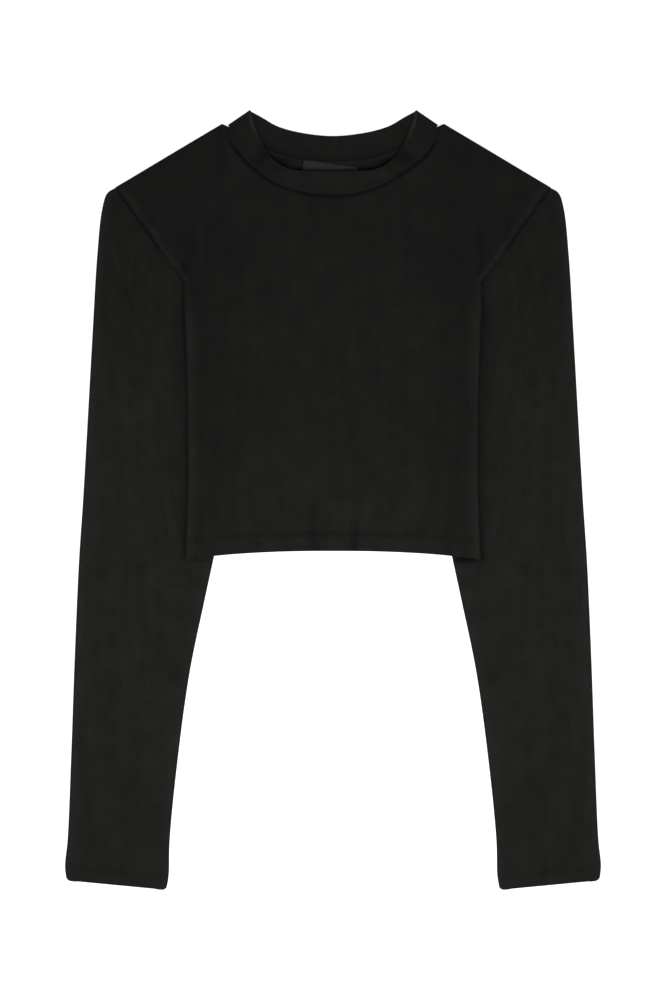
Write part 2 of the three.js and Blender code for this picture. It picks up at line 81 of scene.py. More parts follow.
@dataclass(frozen=True)
class Cut:
    """The sizes that all the pieces share."""

    cloth: float = 1.0
    band_wall: float = 1.6
    label_wall: float = 1.0
    seam_gap: float = 0.3
    slack: float = 0.9
    hem_mid_up: float = -44.6
    hem_drop: float = 7.1
    hem_power: float = 2.4
    hem_corner: tuple[float, float] = (128.5, -51.7)
    hem_lines: tuple[float, float] = (13.5, 16.1)
    cuff_lines: tuple[float, float] = (9.9, 12.5)
    waist: tuple[float, float] = (126.1, 35.0)
    armhole_foot: tuple[float, float] = (130.0, 187.5)
    strip_top: float = 157.0
    side_seam: tuple[float, float] = (77.4, 113.5)
    shoulder_tip: tuple[float, float] = (189.4, 271.2)
    neck_point: tuple[float, float] = (96.6, 326.8)
    neck_start: tuple[float, float] = (92.5, 325.2)
    neck_notch: tuple[float, float] = (91.4, 326.0)
    neck_peak: tuple[float, float] = (72.2, 339.1)
    rise_across: tuple[float, float] = (40.0, 68.0)
    rise_line: tuple[float, float, float] = (165.0, 128.0, 0.77)
    rise_fade: tuple[float, float] = (44.0, 24.0)

    @property
    def low(self) -> float:
        """Mid height of a ply that lies on the surface."""
        return self.cloth / 2

    @property
    def high(self) -> float:
        """Mid height of the ply above it."""
        return self.low + self.cloth + self.slack

    def over(self, plies: int) -> float:
        """Mid height of the ply that lies a number of plies above the upper one.

        Args:
            plies: How many plies up.

        Returns:
            The height in millimetres.
        """
        return self.high + plies * (self.cloth + self.seam_gap)

    @property
    def lip_rest(self) -> float:
        """Mid height of the front's fold where it rests on the sleeve, above the folded strips."""
        return self.high + self.cloth + 0.1

    @property
    def fold_reach(self) -> float:
        """Outside radius of the front's side fold."""
        return (self.over(4) - self.over(1) + self.cloth) / 2

    def side_out(self, up: Array) -> Array:
        """Works out how far out the side fold's outline lies.

        Args:
            up: Places along.

        Returns:
            Distances out.
        """
        below = ((self.waist[1] - up) / (self.waist[1] - self.hem_corner[1])) ** 2
        above = ((up - self.waist[1]) / (self.armhole_foot[1] - self.waist[1])) ** 2
        low = self.waist[0] + (self.hem_corner[0] - self.waist[0]) * below
        high = self.waist[0] + (self.armhole_foot[0] - self.waist[0]) * above
        return np.where(up < self.waist[1], low, high)

    def hem_up(self, out: Array) -> Array:
        """Returns the height of the hem's edge at each distance out."""
        return self.hem_mid_up - self.hem_drop * (np.abs(out) / self.hem_corner[0]) ** self.hem_power

    def fall(self, out: Array, up: Array) -> Array:
        """Works out how far a place is past the upper end of the folded strips.

        Args:
            out: Distances from the centre line.
            up: Places along.

        Returns:
            Shares from 0 to 1.
        """
        line_up, line_at, slope = self.rise_line
        fade = lerp(*self.rise_fade, ease(out, 80.0, line_at))
        return ease((up - line_up - (out - line_at) * slope) / fade, 0.0, 1.0)

    def lift(self, out: Array, up: Array) -> Array:
        """Returns from 0 to 1 how far the body is lifted over its folded strips."""
        return ease(out, *self.rise_across) * (1 - self.fall(out, up))


CUT = Cut()

ARMHOLE = ((130.0, 187.5), (134.6, 195.0), (147.4, 211.6), (160.6, 231.6), (174.2, 250.4), (189.4, 271.2))


@dataclass(frozen=True)
class NeckRow:
    """A place round the neck: its seam, the band's free edge and how much lower the -X seam lies."""

    seam: tuple[float, float]
    edge: tuple[float, float]
    skew: float = 0.0


FRONT_NECK = (
    NeckRow(seam=(91.6, 315.3), edge=(69.7, 329.6)),
    NeckRow(seam=(79.3, 296.8), edge=(63.0, 313.8)),
    NeckRow(seam=(61.2, 284.0), edge=(53.4, 297.4), skew=-2.7),
    NeckRow(seam=(40.5, 271.9), edge=(38.0, 287.6), skew=-1.4),
    NeckRow(seam=(18.3, 265.0), edge=(19.0, 285.9)),
    NeckRow(seam=(0.0, 263.8), edge=(0.0, 285.6)),
)
BACK_NECK = (
    NeckRow(seam=(76.0, 315.4), edge=(61.5, 332.4)),
    NeckRow(seam=(60.0, 307.4), edge=(49.0, 325.2)),
    NeckRow(seam=(36.5, 298.9), edge=(30.5, 319.8)),
    NeckRow(seam=(0.0, 295.5), edge=(0.0, 316.4)),
)


@dataclass(frozen=True)
class SleeveRow:
    """A place down the sleeve: its outer edge and its inner edge."""

    outer: tuple[float, float]
    inner: tuple[float, float]


SLEEVE_ROWS = (
    SleeveRow(outer=(189.8, 271.0), inner=(77.4, 116.4)),
    SleeveRow(outer=(196.6, 266.6), inner=(78.4, 108.0)),
    SleeveRow(outer=(200.9, 252.9), inner=(80.6, 92.0)),
    SleeveRow(outer=(205.1, 212.0), inner=(85.2, 56.0)),
    SleeveRow(outer=(208.8, 150.0), inner=(91.4, 16.0)),
    SleeveRow(outer=(213.2, 72.0), inner=(98.2, -24.0)),
    SleeveRow(outer=(217.4, -0.2), inner=(104.7, -55.0)),
    SleeveRow(outer=(221.0, -54.0), inner=(111.8, -88.0)),
    SleeveRow(outer=(224.8, -139.4), inner=(124.6, -150.0)),
    SleeveRow(outer=(227.9, -226.4), inner=(135.1, -226.4)),
    SleeveRow(outer=(230.9, -296.0), inner=(142.0, -296.0)),
    SleeveRow(outer=(233.1, -318.0), inner=(142.9, -327.0)),
    SleeveRow(outer=(231.9, -330.9), inner=(144.9, -339.17)),
)


ARMHOLE_LONG = 103.0


@dataclass(frozen=True)
class Crease:
    """A soft trough or ridge: its middle, half length, half width, lean in degrees and height."""

    x: float
    up: float
    long: float
    wide: float
    lean: float
    rise: float


FRONT_CREASES = (
    Crease(x=-30, up=30, long=95, wide=22, lean=0, rise=0.8),
    Crease(x=-59, up=125, long=95, wide=12, lean=1, rise=-0.4),
    Crease(x=64, up=172, long=60, wide=12, lean=-2, rise=-0.4),
    Crease(x=30, up=95, long=120, wide=20, lean=3, rise=0.6),
    Crease(x=-17.6, up=-22, long=40, wide=4.5, lean=1, rise=-0.75),
    Crease(x=19.3, up=-36, long=17, wide=4.0, lean=-3, rise=-0.7),
    Crease(x=-66, up=-44, long=13, wide=4.0, lean=5, rise=-0.35),
    Crease(x=66, up=-42, long=15, wide=4.5, lean=-7, rise=-0.35),
    Crease(x=-118, up=212, long=24, wide=6, lean=-8, rise=-0.6),
    Crease(x=-100, up=240, long=40, wide=9, lean=-34, rise=0.4),
    Crease(x=112, up=226, long=34, wide=8, lean=26, rise=-0.45),
    Crease(x=44, up=31, long=19, wide=4, lean=-41, rise=-0.35),
    Crease(x=-88, up=96, long=60, wide=14, lean=4, rise=0.4),
    Crease(x=94, up=60, long=70, wide=15, lean=-3, rise=0.4),
)
BACK_CREASES = (
    Crease(x=-16, up=-20, long=44, wide=6, lean=2, rise=0.35),
    Crease(x=21, up=-30, long=30, wide=5, lean=-4, rise=0.35),
    Crease(x=2, up=120, long=90, wide=11, lean=-3, rise=0.3),
    Crease(x=-62, up=240, long=50, wide=8, lean=30, rise=0.35),
    Crease(x=70, up=232, long=46, wide=7, lean=-32, rise=0.35),
)
RIGHT_SLEEVE_CREASES = (
    Crease(x=-178, up=178, long=21, wide=3.8, lean=14, rise=-0.75),
    Crease(x=-186.5, up=202, long=20, wide=4.2, lean=14, rise=0.5),
    Crease(x=-160, up=120, long=60, wide=10, lean=5, rise=-0.35),
    Crease(x=-185, up=-40, long=95, wide=14, lean=-3, rise=0.35),
    Crease(x=-150, up=-110, long=60, wide=8, lean=8, rise=-0.4),
    Crease(x=-190, up=-230, long=60, wide=10, lean=-4, rise=-0.35),
    Crease(x=-168, up=-262, long=34, wide=6, lean=10, rise=0.3),
)
LEFT_SLEEVE_CREASES = (
    Crease(x=168, up=196, long=29, wide=4.5, lean=-11, rise=-0.75),
    Crease(x=161, up=192, long=30, wide=5.5, lean=-11, rise=0.3),
    Crease(x=164, up=104, long=66, wide=10, lean=-6, rise=-0.35),
    Crease(x=188, up=-20, long=85, wide=13, lean=4, rise=0.35),
    Crease(x=152, up=-128, long=54, wide=8, lean=-9, rise=-0.4),
    Crease(x=192, up=-214, long=70, wide=10, lean=3, rise=-0.35),
    Crease(x=170, up=-276, long=30, wide=6, lean=-8, rise=0.3),
)

# Painted shade spots in creases, dents and gaps; where the rise is below 0 they are painted highlights.
FRONT_SHADE = (
    Crease(x=-123, up=223, long=13, wide=4.5, lean=-4, rise=0.2),
    Crease(x=-130, up=181, long=7, wide=1.8, lean=4, rise=0.5),
    Crease(x=-129, up=202, long=8, wide=3.5, lean=-20, rise=0.28),
    Crease(x=129, up=211, long=18, wide=2.2, lean=2, rise=0.22),
    Crease(x=44, up=31, long=17, wide=3, lean=-41, rise=0.09),
    Crease(x=130, up=181, long=7, wide=1.8, lean=-4, rise=0.5),
    Crease(x=-59, up=150, long=90, wide=9, lean=1, rise=0.07),
    Crease(x=64, up=238, long=45, wide=9, lean=-2, rise=0.07),
    Crease(x=-26, up=20, long=70, wide=22, lean=0, rise=-0.06),
    Crease(x=-17.6, up=-22, long=38, wide=5, lean=1, rise=0.26),
    Crease(x=-17.6, up=-37, long=9, wide=4, lean=0, rise=0.16),
    Crease(x=19.3, up=-37, long=13, wide=4.2, lean=-3, rise=0.34),
)
# Painted shadow on the back under the front band's raised free edge.
BACK_SHADE = (
    Crease(x=-47, up=293.5, long=15, wide=5, lean=-62, rise=0.25),
    Crease(x=47, up=294.5, long=15, wide=5, lean=62, rise=0.25),
)
# Painted shade in the dents beside the band's free edge.
BAND_SHADE = (
    Crease(x=-61, up=297.5, long=14, wide=7, lean=-55, rise=0.46),
    Crease(x=-42, up=290, long=12, wide=4, lean=-66, rise=0.25),
    Crease(x=61, up=299.0, long=14, wide=7, lean=55, rise=0.46),
    Crease(x=42, up=291, long=12, wide=4, lean=66, rise=0.25),
)
# Painted shadow under the hem's corner, and painted shade and highlight along the sleeve cap's crease.
RIGHT_SLEEVE_SHADE = (
    Crease(x=-118, up=-53.0, long=12, wide=1.4, lean=90, rise=0.45),
    Crease(x=-177.5, up=176, long=15, wide=2.6, lean=14, rise=0.22),
    Crease(x=-186.5, up=202, long=15, wide=2.6, lean=14, rise=-0.22),
)
# Painted shadow under the hem's lifted corner, and painted shade in the sleeve cap's crease.
LEFT_SLEEVE_SHADE = (
    Crease(x=115, up=-51.8, long=15, wide=3.5, lean=90, rise=1.1),
    Crease(x=168, up=196, long=26, wide=3.2, lean=-11, rise=0.12),
)


def ease(value: Array, low: float, high: float) -> Array:
    """Returns 0 below low, 1 above high and a smooth step between."""
    share = np.clip((value - low) / (high - low), 0.0, 1.0)
    return share * share * (3 - 2 * share)


def bell(value: Array, middle: float, width: float) -> Array:
    """Returns a bump of height 1 at the middle that fades over the width."""
    return np.exp(-(((value - middle) / width) ** 2))


def lerp(low: Array, high: Array, share: Array) -> Array:
    """Returns the value at a share of the way from low to high."""
    return low + (high - low) * share


def crease_height(creases: Iterable[Crease], x: Array, up: Array, lift: Array) -> Array:
    """Adds up the creases at each place.

    Args:
        creases: The creases of one ply.
        x: Places across.
        up: Places along.
        lift: How far the body is lifted there; troughs fade out where it is.

    Returns:
        Heights in millimetres.
    """
    height = np.zeros_like(x)
    for crease in creases:
        lean = math.radians(crease.lean)
        dx = x - crease.x
        dy = up - crease.up
        across = (dx * math.cos(lean) + dy * math.sin(lean)) / crease.wide
        along = (dy * math.cos(lean) - dx * math.sin(lean)) / crease.long
        height = height + crease.rise * np.exp(-(across**2) - along**2)
    return np.where(height < 0, height * (1 - lift), height)


def drift(x: Array, up: Array, phase: float) -> Array:
    """Works out a slow unevenness, as cloth has that was smoothed by hand.

    Args:
        x: Places across.
        up: Places along.
        phase: Where its waves begin.

    Returns:
        Values from -1 to 1.
    """
    waves = (
        np.sin(x / 17.0 + up / 41.0 + phase)
        + np.sin(x / 29.0 - up / 23.0 + 2.1 * phase)
        + np.sin(x / 11.0 + up / 67.0 + 3.7 * phase)
    )
    return waves / 3


@dataclass
class SmoothLine:
    """A smooth line through points of the plan."""

    points: Sequence[tuple[float, float]]

    def at(self, share: Array) -> Array:
        """Finds places of the line.

        Args:
            share: Shares of the way, counted in points.

        Returns:
            The places.
        """
        points = np.array(self.points, dtype=float)
        points = np.concatenate([2 * points[:1] - points[1:2], points, 2 * points[-1:] - points[-2:-1]])
        last = len(self.points) - 1
        share = np.asarray(share, dtype=float)
        index = np.minimum((share * last).astype(int), last - 1)
        weight = (share * last - index)[..., None]
        before, start, end, after = (points[index + step] for step in range(4))
        pairs = ((before, start), (start, end), (end, after))
        steps = [np.sqrt(np.linalg.norm(b - a, axis=-1, keepdims=True)) for a, b in pairs]
        first = (start - before) / steps[0] + (end - start) / steps[1]
        first -= (end - before) / (steps[0] + steps[1])
        second = (end - start) / steps[1] + (after - end) / steps[2]
        second -= (after - start) / (steps[1] + steps[2])
        first, second = first * steps[1], second * steps[1]
        bend = -3 * start + 3 * end - 2 * first - second
        twist = 2 * start - 2 * end + first + second
        return start + first * weight + bend * weight**2 + twist * weight**3

    def measured(self) -> tuple[Array, Array]:
        """Measures the line.

        Returns:
            Fine shares of the way, and how far each lies along the line.
        """
        shares = np.linspace(0, 1, 600)
        steps = np.linalg.norm(np.diff(self.at(shares), axis=0), axis=1)
        return shares, np.concatenate([[0], np.cumsum(steps)])

    def along(self, parts: Array) -> Array:
        """Returns points at shares of the line's length."""
        shares, run = self.measured()
        return self.at(np.interp(np.asarray(parts) * run[-1], run, shares))

    def spread(self, parts: int) -> Array:
        """Returns points that lie evenly along the line's length."""
        return self.along(np.linspace(0, 1, parts + 1))


OUTER_EDGE = SmoothLine([row.outer for row in SLEEVE_ROWS])
INNER_EDGE = SmoothLine([row.inner for row in SLEEVE_ROWS])


@lru_cache
def armhole_line() -> Array:
    """Returns the armhole seam from its foot to the shoulder, on the +X side."""
    return SmoothLine(ARMHOLE).spread(50)


def mirrored(half: Array) -> Array:
    """Returns the same points on the other side of the centre line."""
    return half * np.array([-1.0, 1.0])


def nearest(x: Array, up: Array, line: Array) -> tuple[Array, Array]:
    """Finds how far each place is from a line of the plan.

    Args:
        x: Places across.
        up: Places along.
        line: Points of the line.

    Returns:
        The distances to the line and how far along the line the nearest point is.
    """
    place = np.stack([x, up], axis=-1)
    distance = np.full(x.shape, np.inf)
    along = np.zeros(x.shape)
    run = 0.0
    for start, end in zip(line[:-1], line[1:]):
        step = end - start
        length = float(np.linalg.norm(step))
        share = np.clip(((place - start) @ step) / length**2, 0, 1)
        gap = np.linalg.norm(place - start - share[..., None] * step, axis=-1)
        along = np.where(gap < distance, run + share * length, along)
        distance = np.minimum(distance, gap)
        run += length
    return distance, along


def seam_wander(along: Array) -> Array:
    """Returns how far the armhole's painted dark line strays to the body's side, from -1 to 1."""
    return np.sin(along / 5.3 + 1.0) * np.sin(along / 2.9)


def seam_depth(along: Array) -> Array:
    """Returns how deep the armhole seam lies: less above its foot, where it is stretched."""
    return 0.3 + 0.7 * ease(along, 28, 44) + 0.4 * bell(along, 0, 8)


def neck_depth(up: Array) -> Array:
    """Returns how deep the front neck seam lies: it closes where it nears the shoulder."""
    return 1 - 0.85 * ease(up, 302, 318)


@dataclass(frozen=True)
class Profile:
    """A soft ridge or trough along a line: how far off it lies, its half width and its height."""

    at: float
    width: float
    rise: float

    def over(self, distance: Array) -> Array:
        """Returns the height at each distance from the line."""
        return self.rise * bell(distance, self.at, self.width)


@dataclass(frozen=True)
class Falloff:
    """How much painted shade darkens the cloth between two places."""

    low: float
    high: float
    drop: float

    def over(self, place: Array) -> Array:
        """Returns how much painted shade darkens the cloth at each place."""
        return self.drop * ease(place, self.low, self.high)


@dataclass(frozen=True)
class Pucker:
    """The uneven waves where a seam gathers the cloth: their height, spacing, sway and reach."""

    rise: float
    pitch: float
    sway: float
    sway_length: float
    reach: float
    off_seam: float = 1.5

    def over(self, distance: Array, along: Array, shift: Array | float) -> Array:
        """Works out the waves' heights.

        Args:
            distance: How far each place is from the seam.
            along: How far along the seam it is.
            shift: Where the waves begin, as an angle.

        Returns:
            Heights in millimetres.
        """
        phase = along * 2 * math.pi / self.pitch + self.sway * np.sin(along / self.sway_length) + shift
        return self.rise * np.sin(phase) * bell(distance, self.off_seam, self.reach)


@dataclass(frozen=True)
class SeamCrack:
    """The painted shade of the armhole seam: a dark, wandering line, as one of its two sides shows it."""

    depth: float
    stray: float
    sway: float = 0.15
    width: float = 1.4

    def over(self, distance: Array, along: Array) -> Array:
        """Returns how much painted shade darkens the cloth at distances from the seam and along it."""
        wander = seam_wander(along)
        line = bell(distance + self.stray * wander, 0, self.width)
        return (self.depth + self.sway * wander) * seam_depth(along) * line


TONE_RANGE = (0.1, 1.5)
ROW_WIDTH = 0.7
TUCK_PITCH = 7.1
SEAM_OVERLAP = 0.35
BODY_PUCKER = Pucker(rise=0.16, pitch=6.3, sway=1.6, sway_length=5.1, reach=5.0)
SLEEVE_PUCKER = Pucker(rise=0.18, pitch=6.9, sway=1.4, sway_length=6.3, reach=5.5)
ARMHOLE_GROOVE = Profile(at=0.0, width=1.3, rise=-0.7)
BODY_RIDGE = Profile(at=4.4, width=2.6, rise=0.8)
SLEEVE_RIDGE = Profile(at=7.0, width=6.0, rise=0.3)
BACK_RIDGE = Profile(at=0.0, width=1.6, rise=0.35)
NECK_GROOVE = Profile(at=0.0, width=1.15, rise=-0.85)
NECK_RIDGE = Profile(at=4.5, width=2.5, rise=0.25)
NECK_TUCK = Profile(at=2.0, width=5.0, rise=0.12)
# Painted shade in the armhole seam, on the body's side and on the sleeve's.
BODY_CRACK = SeamCrack(depth=0.55, stray=-0.8)
SLEEVE_CRACK = SeamCrack(depth=0.5, stray=0.8)
# Painted shade in the neck seams' creases, and a painted highlight beside the front one.
FRONT_NECK_CRACK = Profile(at=-0.5, width=1.05, rise=-0.8)
BACK_NECK_CRACK = Profile(at=0.0, width=1.05, rise=-0.35)
NECK_LIGHT = Profile(at=4.0, width=2.0, rise=0.04)
# Painted highlights along the side folds, and painted shade right at the fold's edge.
SIDE_LIGHTS = (
    Profile(at=2.9, width=1.3, rise=0.4),
    Profile(at=5.5, width=3.5, rise=0.2),
    Profile(at=0.0, width=1.2, rise=-0.17),
)
# Painted highlights on the sleeves' rounded edges.
CUFF_LIGHTS = (Profile(at=1.5, width=4.5, rise=0.14), Profile(at=0.0, width=9.0, rise=0.12))
# Painted shade: darker further up the body and towards the sides, less so at the shoulders, and towards both
# ends of the sleeves.
WAIST_SHADE = Falloff(low=-10, high=80, drop=0.12)
CHEST_SHADE = Falloff(low=120, high=300, drop=0.12)
SIDE_SHADE = Falloff(low=58, high=112, drop=0.18)
SHOULDER_RELIEF = Falloff(low=200, high=265, drop=0.7)
SLEEVE_TOP_SHADE = Falloff(low=60, high=230, drop=0.22)
SLEEVE_END_SHADE = Falloff(low=120, high=300, drop=0.14)


def moved_off(points: Array, gap: float, centre: tuple[float, float]) -> Array:
    """Moves a line away from a centre, square to itself.

    Args:
        points: Points of the line.
        gap: How far to move it; below 0 it comes nearer.
        centre: The centre.

    Returns:
        The moved points.
    """
    tangent = np.gradient(points, axis=0)
    normal = np.stack([tangent[:, 1], -tangent[:, 0]], axis=-1)
    normal /= np.linalg.norm(normal, axis=1)[:, None]
    away = np.sign(np.sum(normal * (points - np.array(centre)), axis=1))
    return points + normal * away[:, None] * gap


@dataclass(frozen=True)
class JerseyFinish:
    """Black fine-gauge stretch jersey: knit columns, soft fuzz and a low sheen."""

    name: str = "black_jersey"
    shade: tuple[float, float, float] = (0.0063, 0.0063, 0.0057)
    worn: tuple[float, float, float] = (0.0111, 0.0111, 0.0099)
    roughness: float = 0.85
    specular: float = 0.09
    sheen: float = 0.03
    sheen_roughness: float = 0.5
    wale: float = 0.8
    course: float = 0.62
    knit_depth: float = 0.12
    fuzz_depth: float = 0.1
    ripple_pitch: float = 2.6
    ripple_depth: float = 0.3
    # How strongly the hem's ripples lighten and darken the colour: painted shade and painted light.
    ripple_tone: float = 0.4
    fuzz_scale: float = 1.1
    mottle_scale: float = 0.045
    lines_scale: tuple[float, float, float] = (0.12, 0.012, 1.0)
    fuzz_share: float = 0.3
    mottle_share: float = 0.62
    lines_share: float = 0.28
    ramp_ends: tuple[float, float] = (0.48, 0.72)

    def material(self) -> bpy.types.Material:
        """Builds the material.

        Returns:
            A node material that reads the piece's own UV map, in millimetres of cloth, and its
            two marks: tone, which scales the colour with painted shade in cracks and seams and
            painted highlights on fold edges, and ripple, where a hem gathers.
        """
        shader = Shader(self.name)
        chart = shader.node("ShaderNodeUVMap", uv_map="cloth").outputs["UV"]
        fuzz = shader.noise(chart, scale=self.fuzz_scale, detail=4.0, roughness=0.7)
        mottle = shader.noise(chart, scale=self.mottle_scale, detail=6.0, roughness=0.68)
        drawn = shader.mapping(chart, self.lines_scale)
        lines = shader.noise(drawn, scale=1.0, detail=3.0, roughness=0.5)
        blend = shader.math("MULTIPLY", mottle, self.mottle_share)
        blend = shader.math("MULTIPLY_ADD", lines, self.lines_share, blend)
        mixed = shader.math("MULTIPLY_ADD", fuzz, self.fuzz_share, blend)
        ramp = shader.node("ShaderNodeValToRGB")
        for stop, place, colour in zip(ramp.color_ramp.elements, self.ramp_ends, (self.shade, self.worn)):
            stop.position = place
            stop.color = (*colour, 1.0)
        shader.link(mixed, ramp.inputs["Fac"])
        ripple = self.ripple(shader, chart)
        # Painted shade and painted light: the ripples lighten and darken the colour.
        lit = shader.math("MULTIPLY_ADD", ripple, self.ripple_tone, 1.0)
        # The tone mark scales the colour: painted shade in seams and creases, painted highlights on fold
        # edges.
        toned = shader.node("ShaderNodeVectorMath", operation="SCALE")
        shader.link(ramp.outputs["Color"], toned.inputs["Vector"])
        shader.link(shader.math("MULTIPLY", shader.mark("tone"), lit), toned.inputs["Scale"])
        shader.link(toned.outputs["Vector"], shader.surface.inputs["Base Color"])
        rough = shader.math("MULTIPLY_ADD", mottle, 0.16, self.roughness - 0.08)
        shader.link(rough, shader.surface.inputs["Roughness"])
        fluff = shader.math("MULTIPLY", fuzz, self.fuzz_depth)
        soft = shader.math("MULTIPLY_ADD", ripple, self.ripple_depth, fluff)
        relief = shader.math("MULTIPLY_ADD", self.knit(shader, chart), self.knit_depth, soft)
        shader.bump(relief, strength=0.75, distance=MM)
        shader.surface.inputs["Specular IOR Level"].default_value = self.specular
        shader.surface.inputs["Sheen Weight"].default_value = self.sheen
        shader.surface.inputs["Sheen Roughness"].default_value = self.sheen_roughness
        return shader.material

    def ripple(self, shader: Shader, chart: bpy.types.NodeSocket) -> bpy.types.NodeSocket:
        """Draws the short ripples where stitching gathers the cloth.

        Args:
            shader: The material that is being built.
            chart: The cloth's own coordinates in millimetres.

        Returns:
            Heights from -1 to 1, and 0 where nothing is gathered.
        """
        split = shader.node("ShaderNodeSeparateXYZ")
        shader.link(chart, split.inputs["Vector"])
        turn = shader.math("MULTIPLY", split.outputs["X"], 2 * math.pi / self.ripple_pitch)
        return shader.math("MULTIPLY", shader.math("SINE", turn), shader.mark("ripple"))

    def knit(self, shader: Shader, chart: bpy.types.NodeSocket) -> bpy.types.NodeSocket:
        """Draws the knit's columns of V-shaped stitches.

        Args:
            shader: The material that is being built.
            chart: The cloth's own coordinates in millimetres.

        Returns:
            Heights from 0 to 1.
        """
        split = shader.node("ShaderNodeSeparateXYZ")
        shader.link(chart, split.inputs["Vector"])
        column = shader.math("PINGPONG", split.outputs["X"], self.wale / 2)
        lean = shader.math("MULTIPLY", column, 1 / self.wale)
        row = shader.math("MULTIPLY_ADD", split.outputs["Y"], 1 / self.course, lean)
        wave = shader.math("SINE", shader.math("MULTIPLY", row, 2 * math.pi))
        leg = shader.math("SINE", shader.math("MULTIPLY", column, 2 * math.pi / self.wale))
        return shader.math("MULTIPLY", leg, shader.math("MULTIPLY_ADD", wave, 0.35, 0.65))


@dataclass(frozen=True)
class RibbonFinish:
    """Dark grey satin-woven label ribbon, blank."""

    name: str = "label_ribbon"
    shade: tuple[float, float, float] = (0.0105, 0.0105, 0.011)
    roughness: float = 0.6
    specular: float = 0.2
    thread: float = 0.35

    def material(self) -> bpy.types.Material:
        """Builds the material, with fine warp and weft threads.

        Returns:
            The node material.
        """
        shader = Shader(self.name)
        chart = shader.node("ShaderNodeUVMap", uv_map="cloth")
        split = shader.node("ShaderNodeSeparateXYZ")
        shader.link(chart.outputs["UV"], split.inputs["Vector"])
        turn = 2 * math.pi / self.thread
        warp = shader.math("SINE", shader.math("MULTIPLY", split.outputs["X"], turn))
        weft = shader.math("SINE", shader.math("MULTIPLY", split.outputs["Y"], turn * 0.6))
        weave = shader.math("MULTIPLY_ADD", warp, 0.35, shader.math("MULTIPLY", weft, 0.65))
        worn = shader.noise(chart.outputs["UV"], scale=0.25, detail=3.0, roughness=0.5)
        ramp = shader.node("ShaderNodeValToRGB")
        ramp.color_ramp.elements[0].color = (*(0.8 * part for part in self.shade), 1.0)
        ramp.color_ramp.elements[1].color = (*(1.25 * part for part in self.shade), 1.0)
        shader.link(worn, ramp.inputs["Fac"])
        shader.link(ramp.outputs["Color"], shader.surface.inputs["Base Color"])
        shader.bump(weave, strength=0.6, distance=0.05 * MM)
        shader.surface.inputs["Roughness"].default_value = self.roughness
        shader.surface.inputs["Specular IOR Level"].default_value = self.specular
        return shader.material


@dataclass(frozen=True)
class ThreadFinish:
    """Black polyester sewing thread with a twist."""

    name: str = "sewing_thread"
    shade: tuple[float, float, float] = (0.0055, 0.0055, 0.0054)
    roughness: float = 0.7
    specular: float = 0.12
    twist_scale: float = 900.0

    def material(self) -> bpy.types.Material:
        """Builds the material, with the thread's twist as bump.

        Returns:
            The node material.
        """
        shader = Shader(self.name)
        place = shader.node("ShaderNodeTexCoord").outputs["Object"]
        twist = shader.node("ShaderNodeTexWave")
        twist.bands_direction = "DIAGONAL"
        twist.inputs["Scale"].default_value = self.twist_scale
        shader.link(place, twist.inputs["Vector"])
        tone = shader.noise(place, scale=self.twist_scale, detail=2.0, roughness=0.5)
        ramp = shader.node("ShaderNodeValToRGB")
        ramp.color_ramp.elements[0].color = (*(0.75 * part for part in self.shade), 1.0)
        ramp.color_ramp.elements[1].color = (*(1.3 * part for part in self.shade), 1.0)
        shader.link(tone, ramp.inputs["Fac"])
        shader.link(ramp.outputs["Color"], shader.surface.inputs["Base Color"])
        shader.bump(twist.outputs["Fac"], strength=0.5, distance=0.05 * MM)
        shader.surface.inputs["Roughness"].default_value = self.roughness
        shader.surface.inputs["Specular IOR Level"].default_value = self.specular
        return shader.material


@dataclass(frozen=True)
class PaperFinish:
    """The white paper sweep that the garment lies on."""

    name: str = "white_paper"
    shade: tuple[float, float, float] = (0.5, 0.5, 0.5)
    glow: float = 0.82
    tooth_scale: float = 400.0

    def material(self) -> bpy.types.Material:
        """Builds a matt white material with a faint tooth, lit through from below.

        Returns:
            The node material.
        """
        shader = Shader(self.name)
        place = shader.node("ShaderNodeTexCoord").outputs["Object"]
        tooth = shader.noise(place, scale=self.tooth_scale, detail=2.0, roughness=0.5)
        shader.bump(tooth, strength=0.05, distance=0.1 * MM)
        shader.surface.inputs["Base Color"].default_value = (*self.shade, 1.0)
        shader.surface.inputs["Roughness"].default_value = 0.95
        shader.surface.inputs["Specular IOR Level"].default_value = 0.0
        shader.surface.inputs["Emission Color"].default_value = (1.0, 1.0, 1.0, 1.0)
        shader.surface.inputs["Emission Strength"].default_value = self.glow
        return shader.material


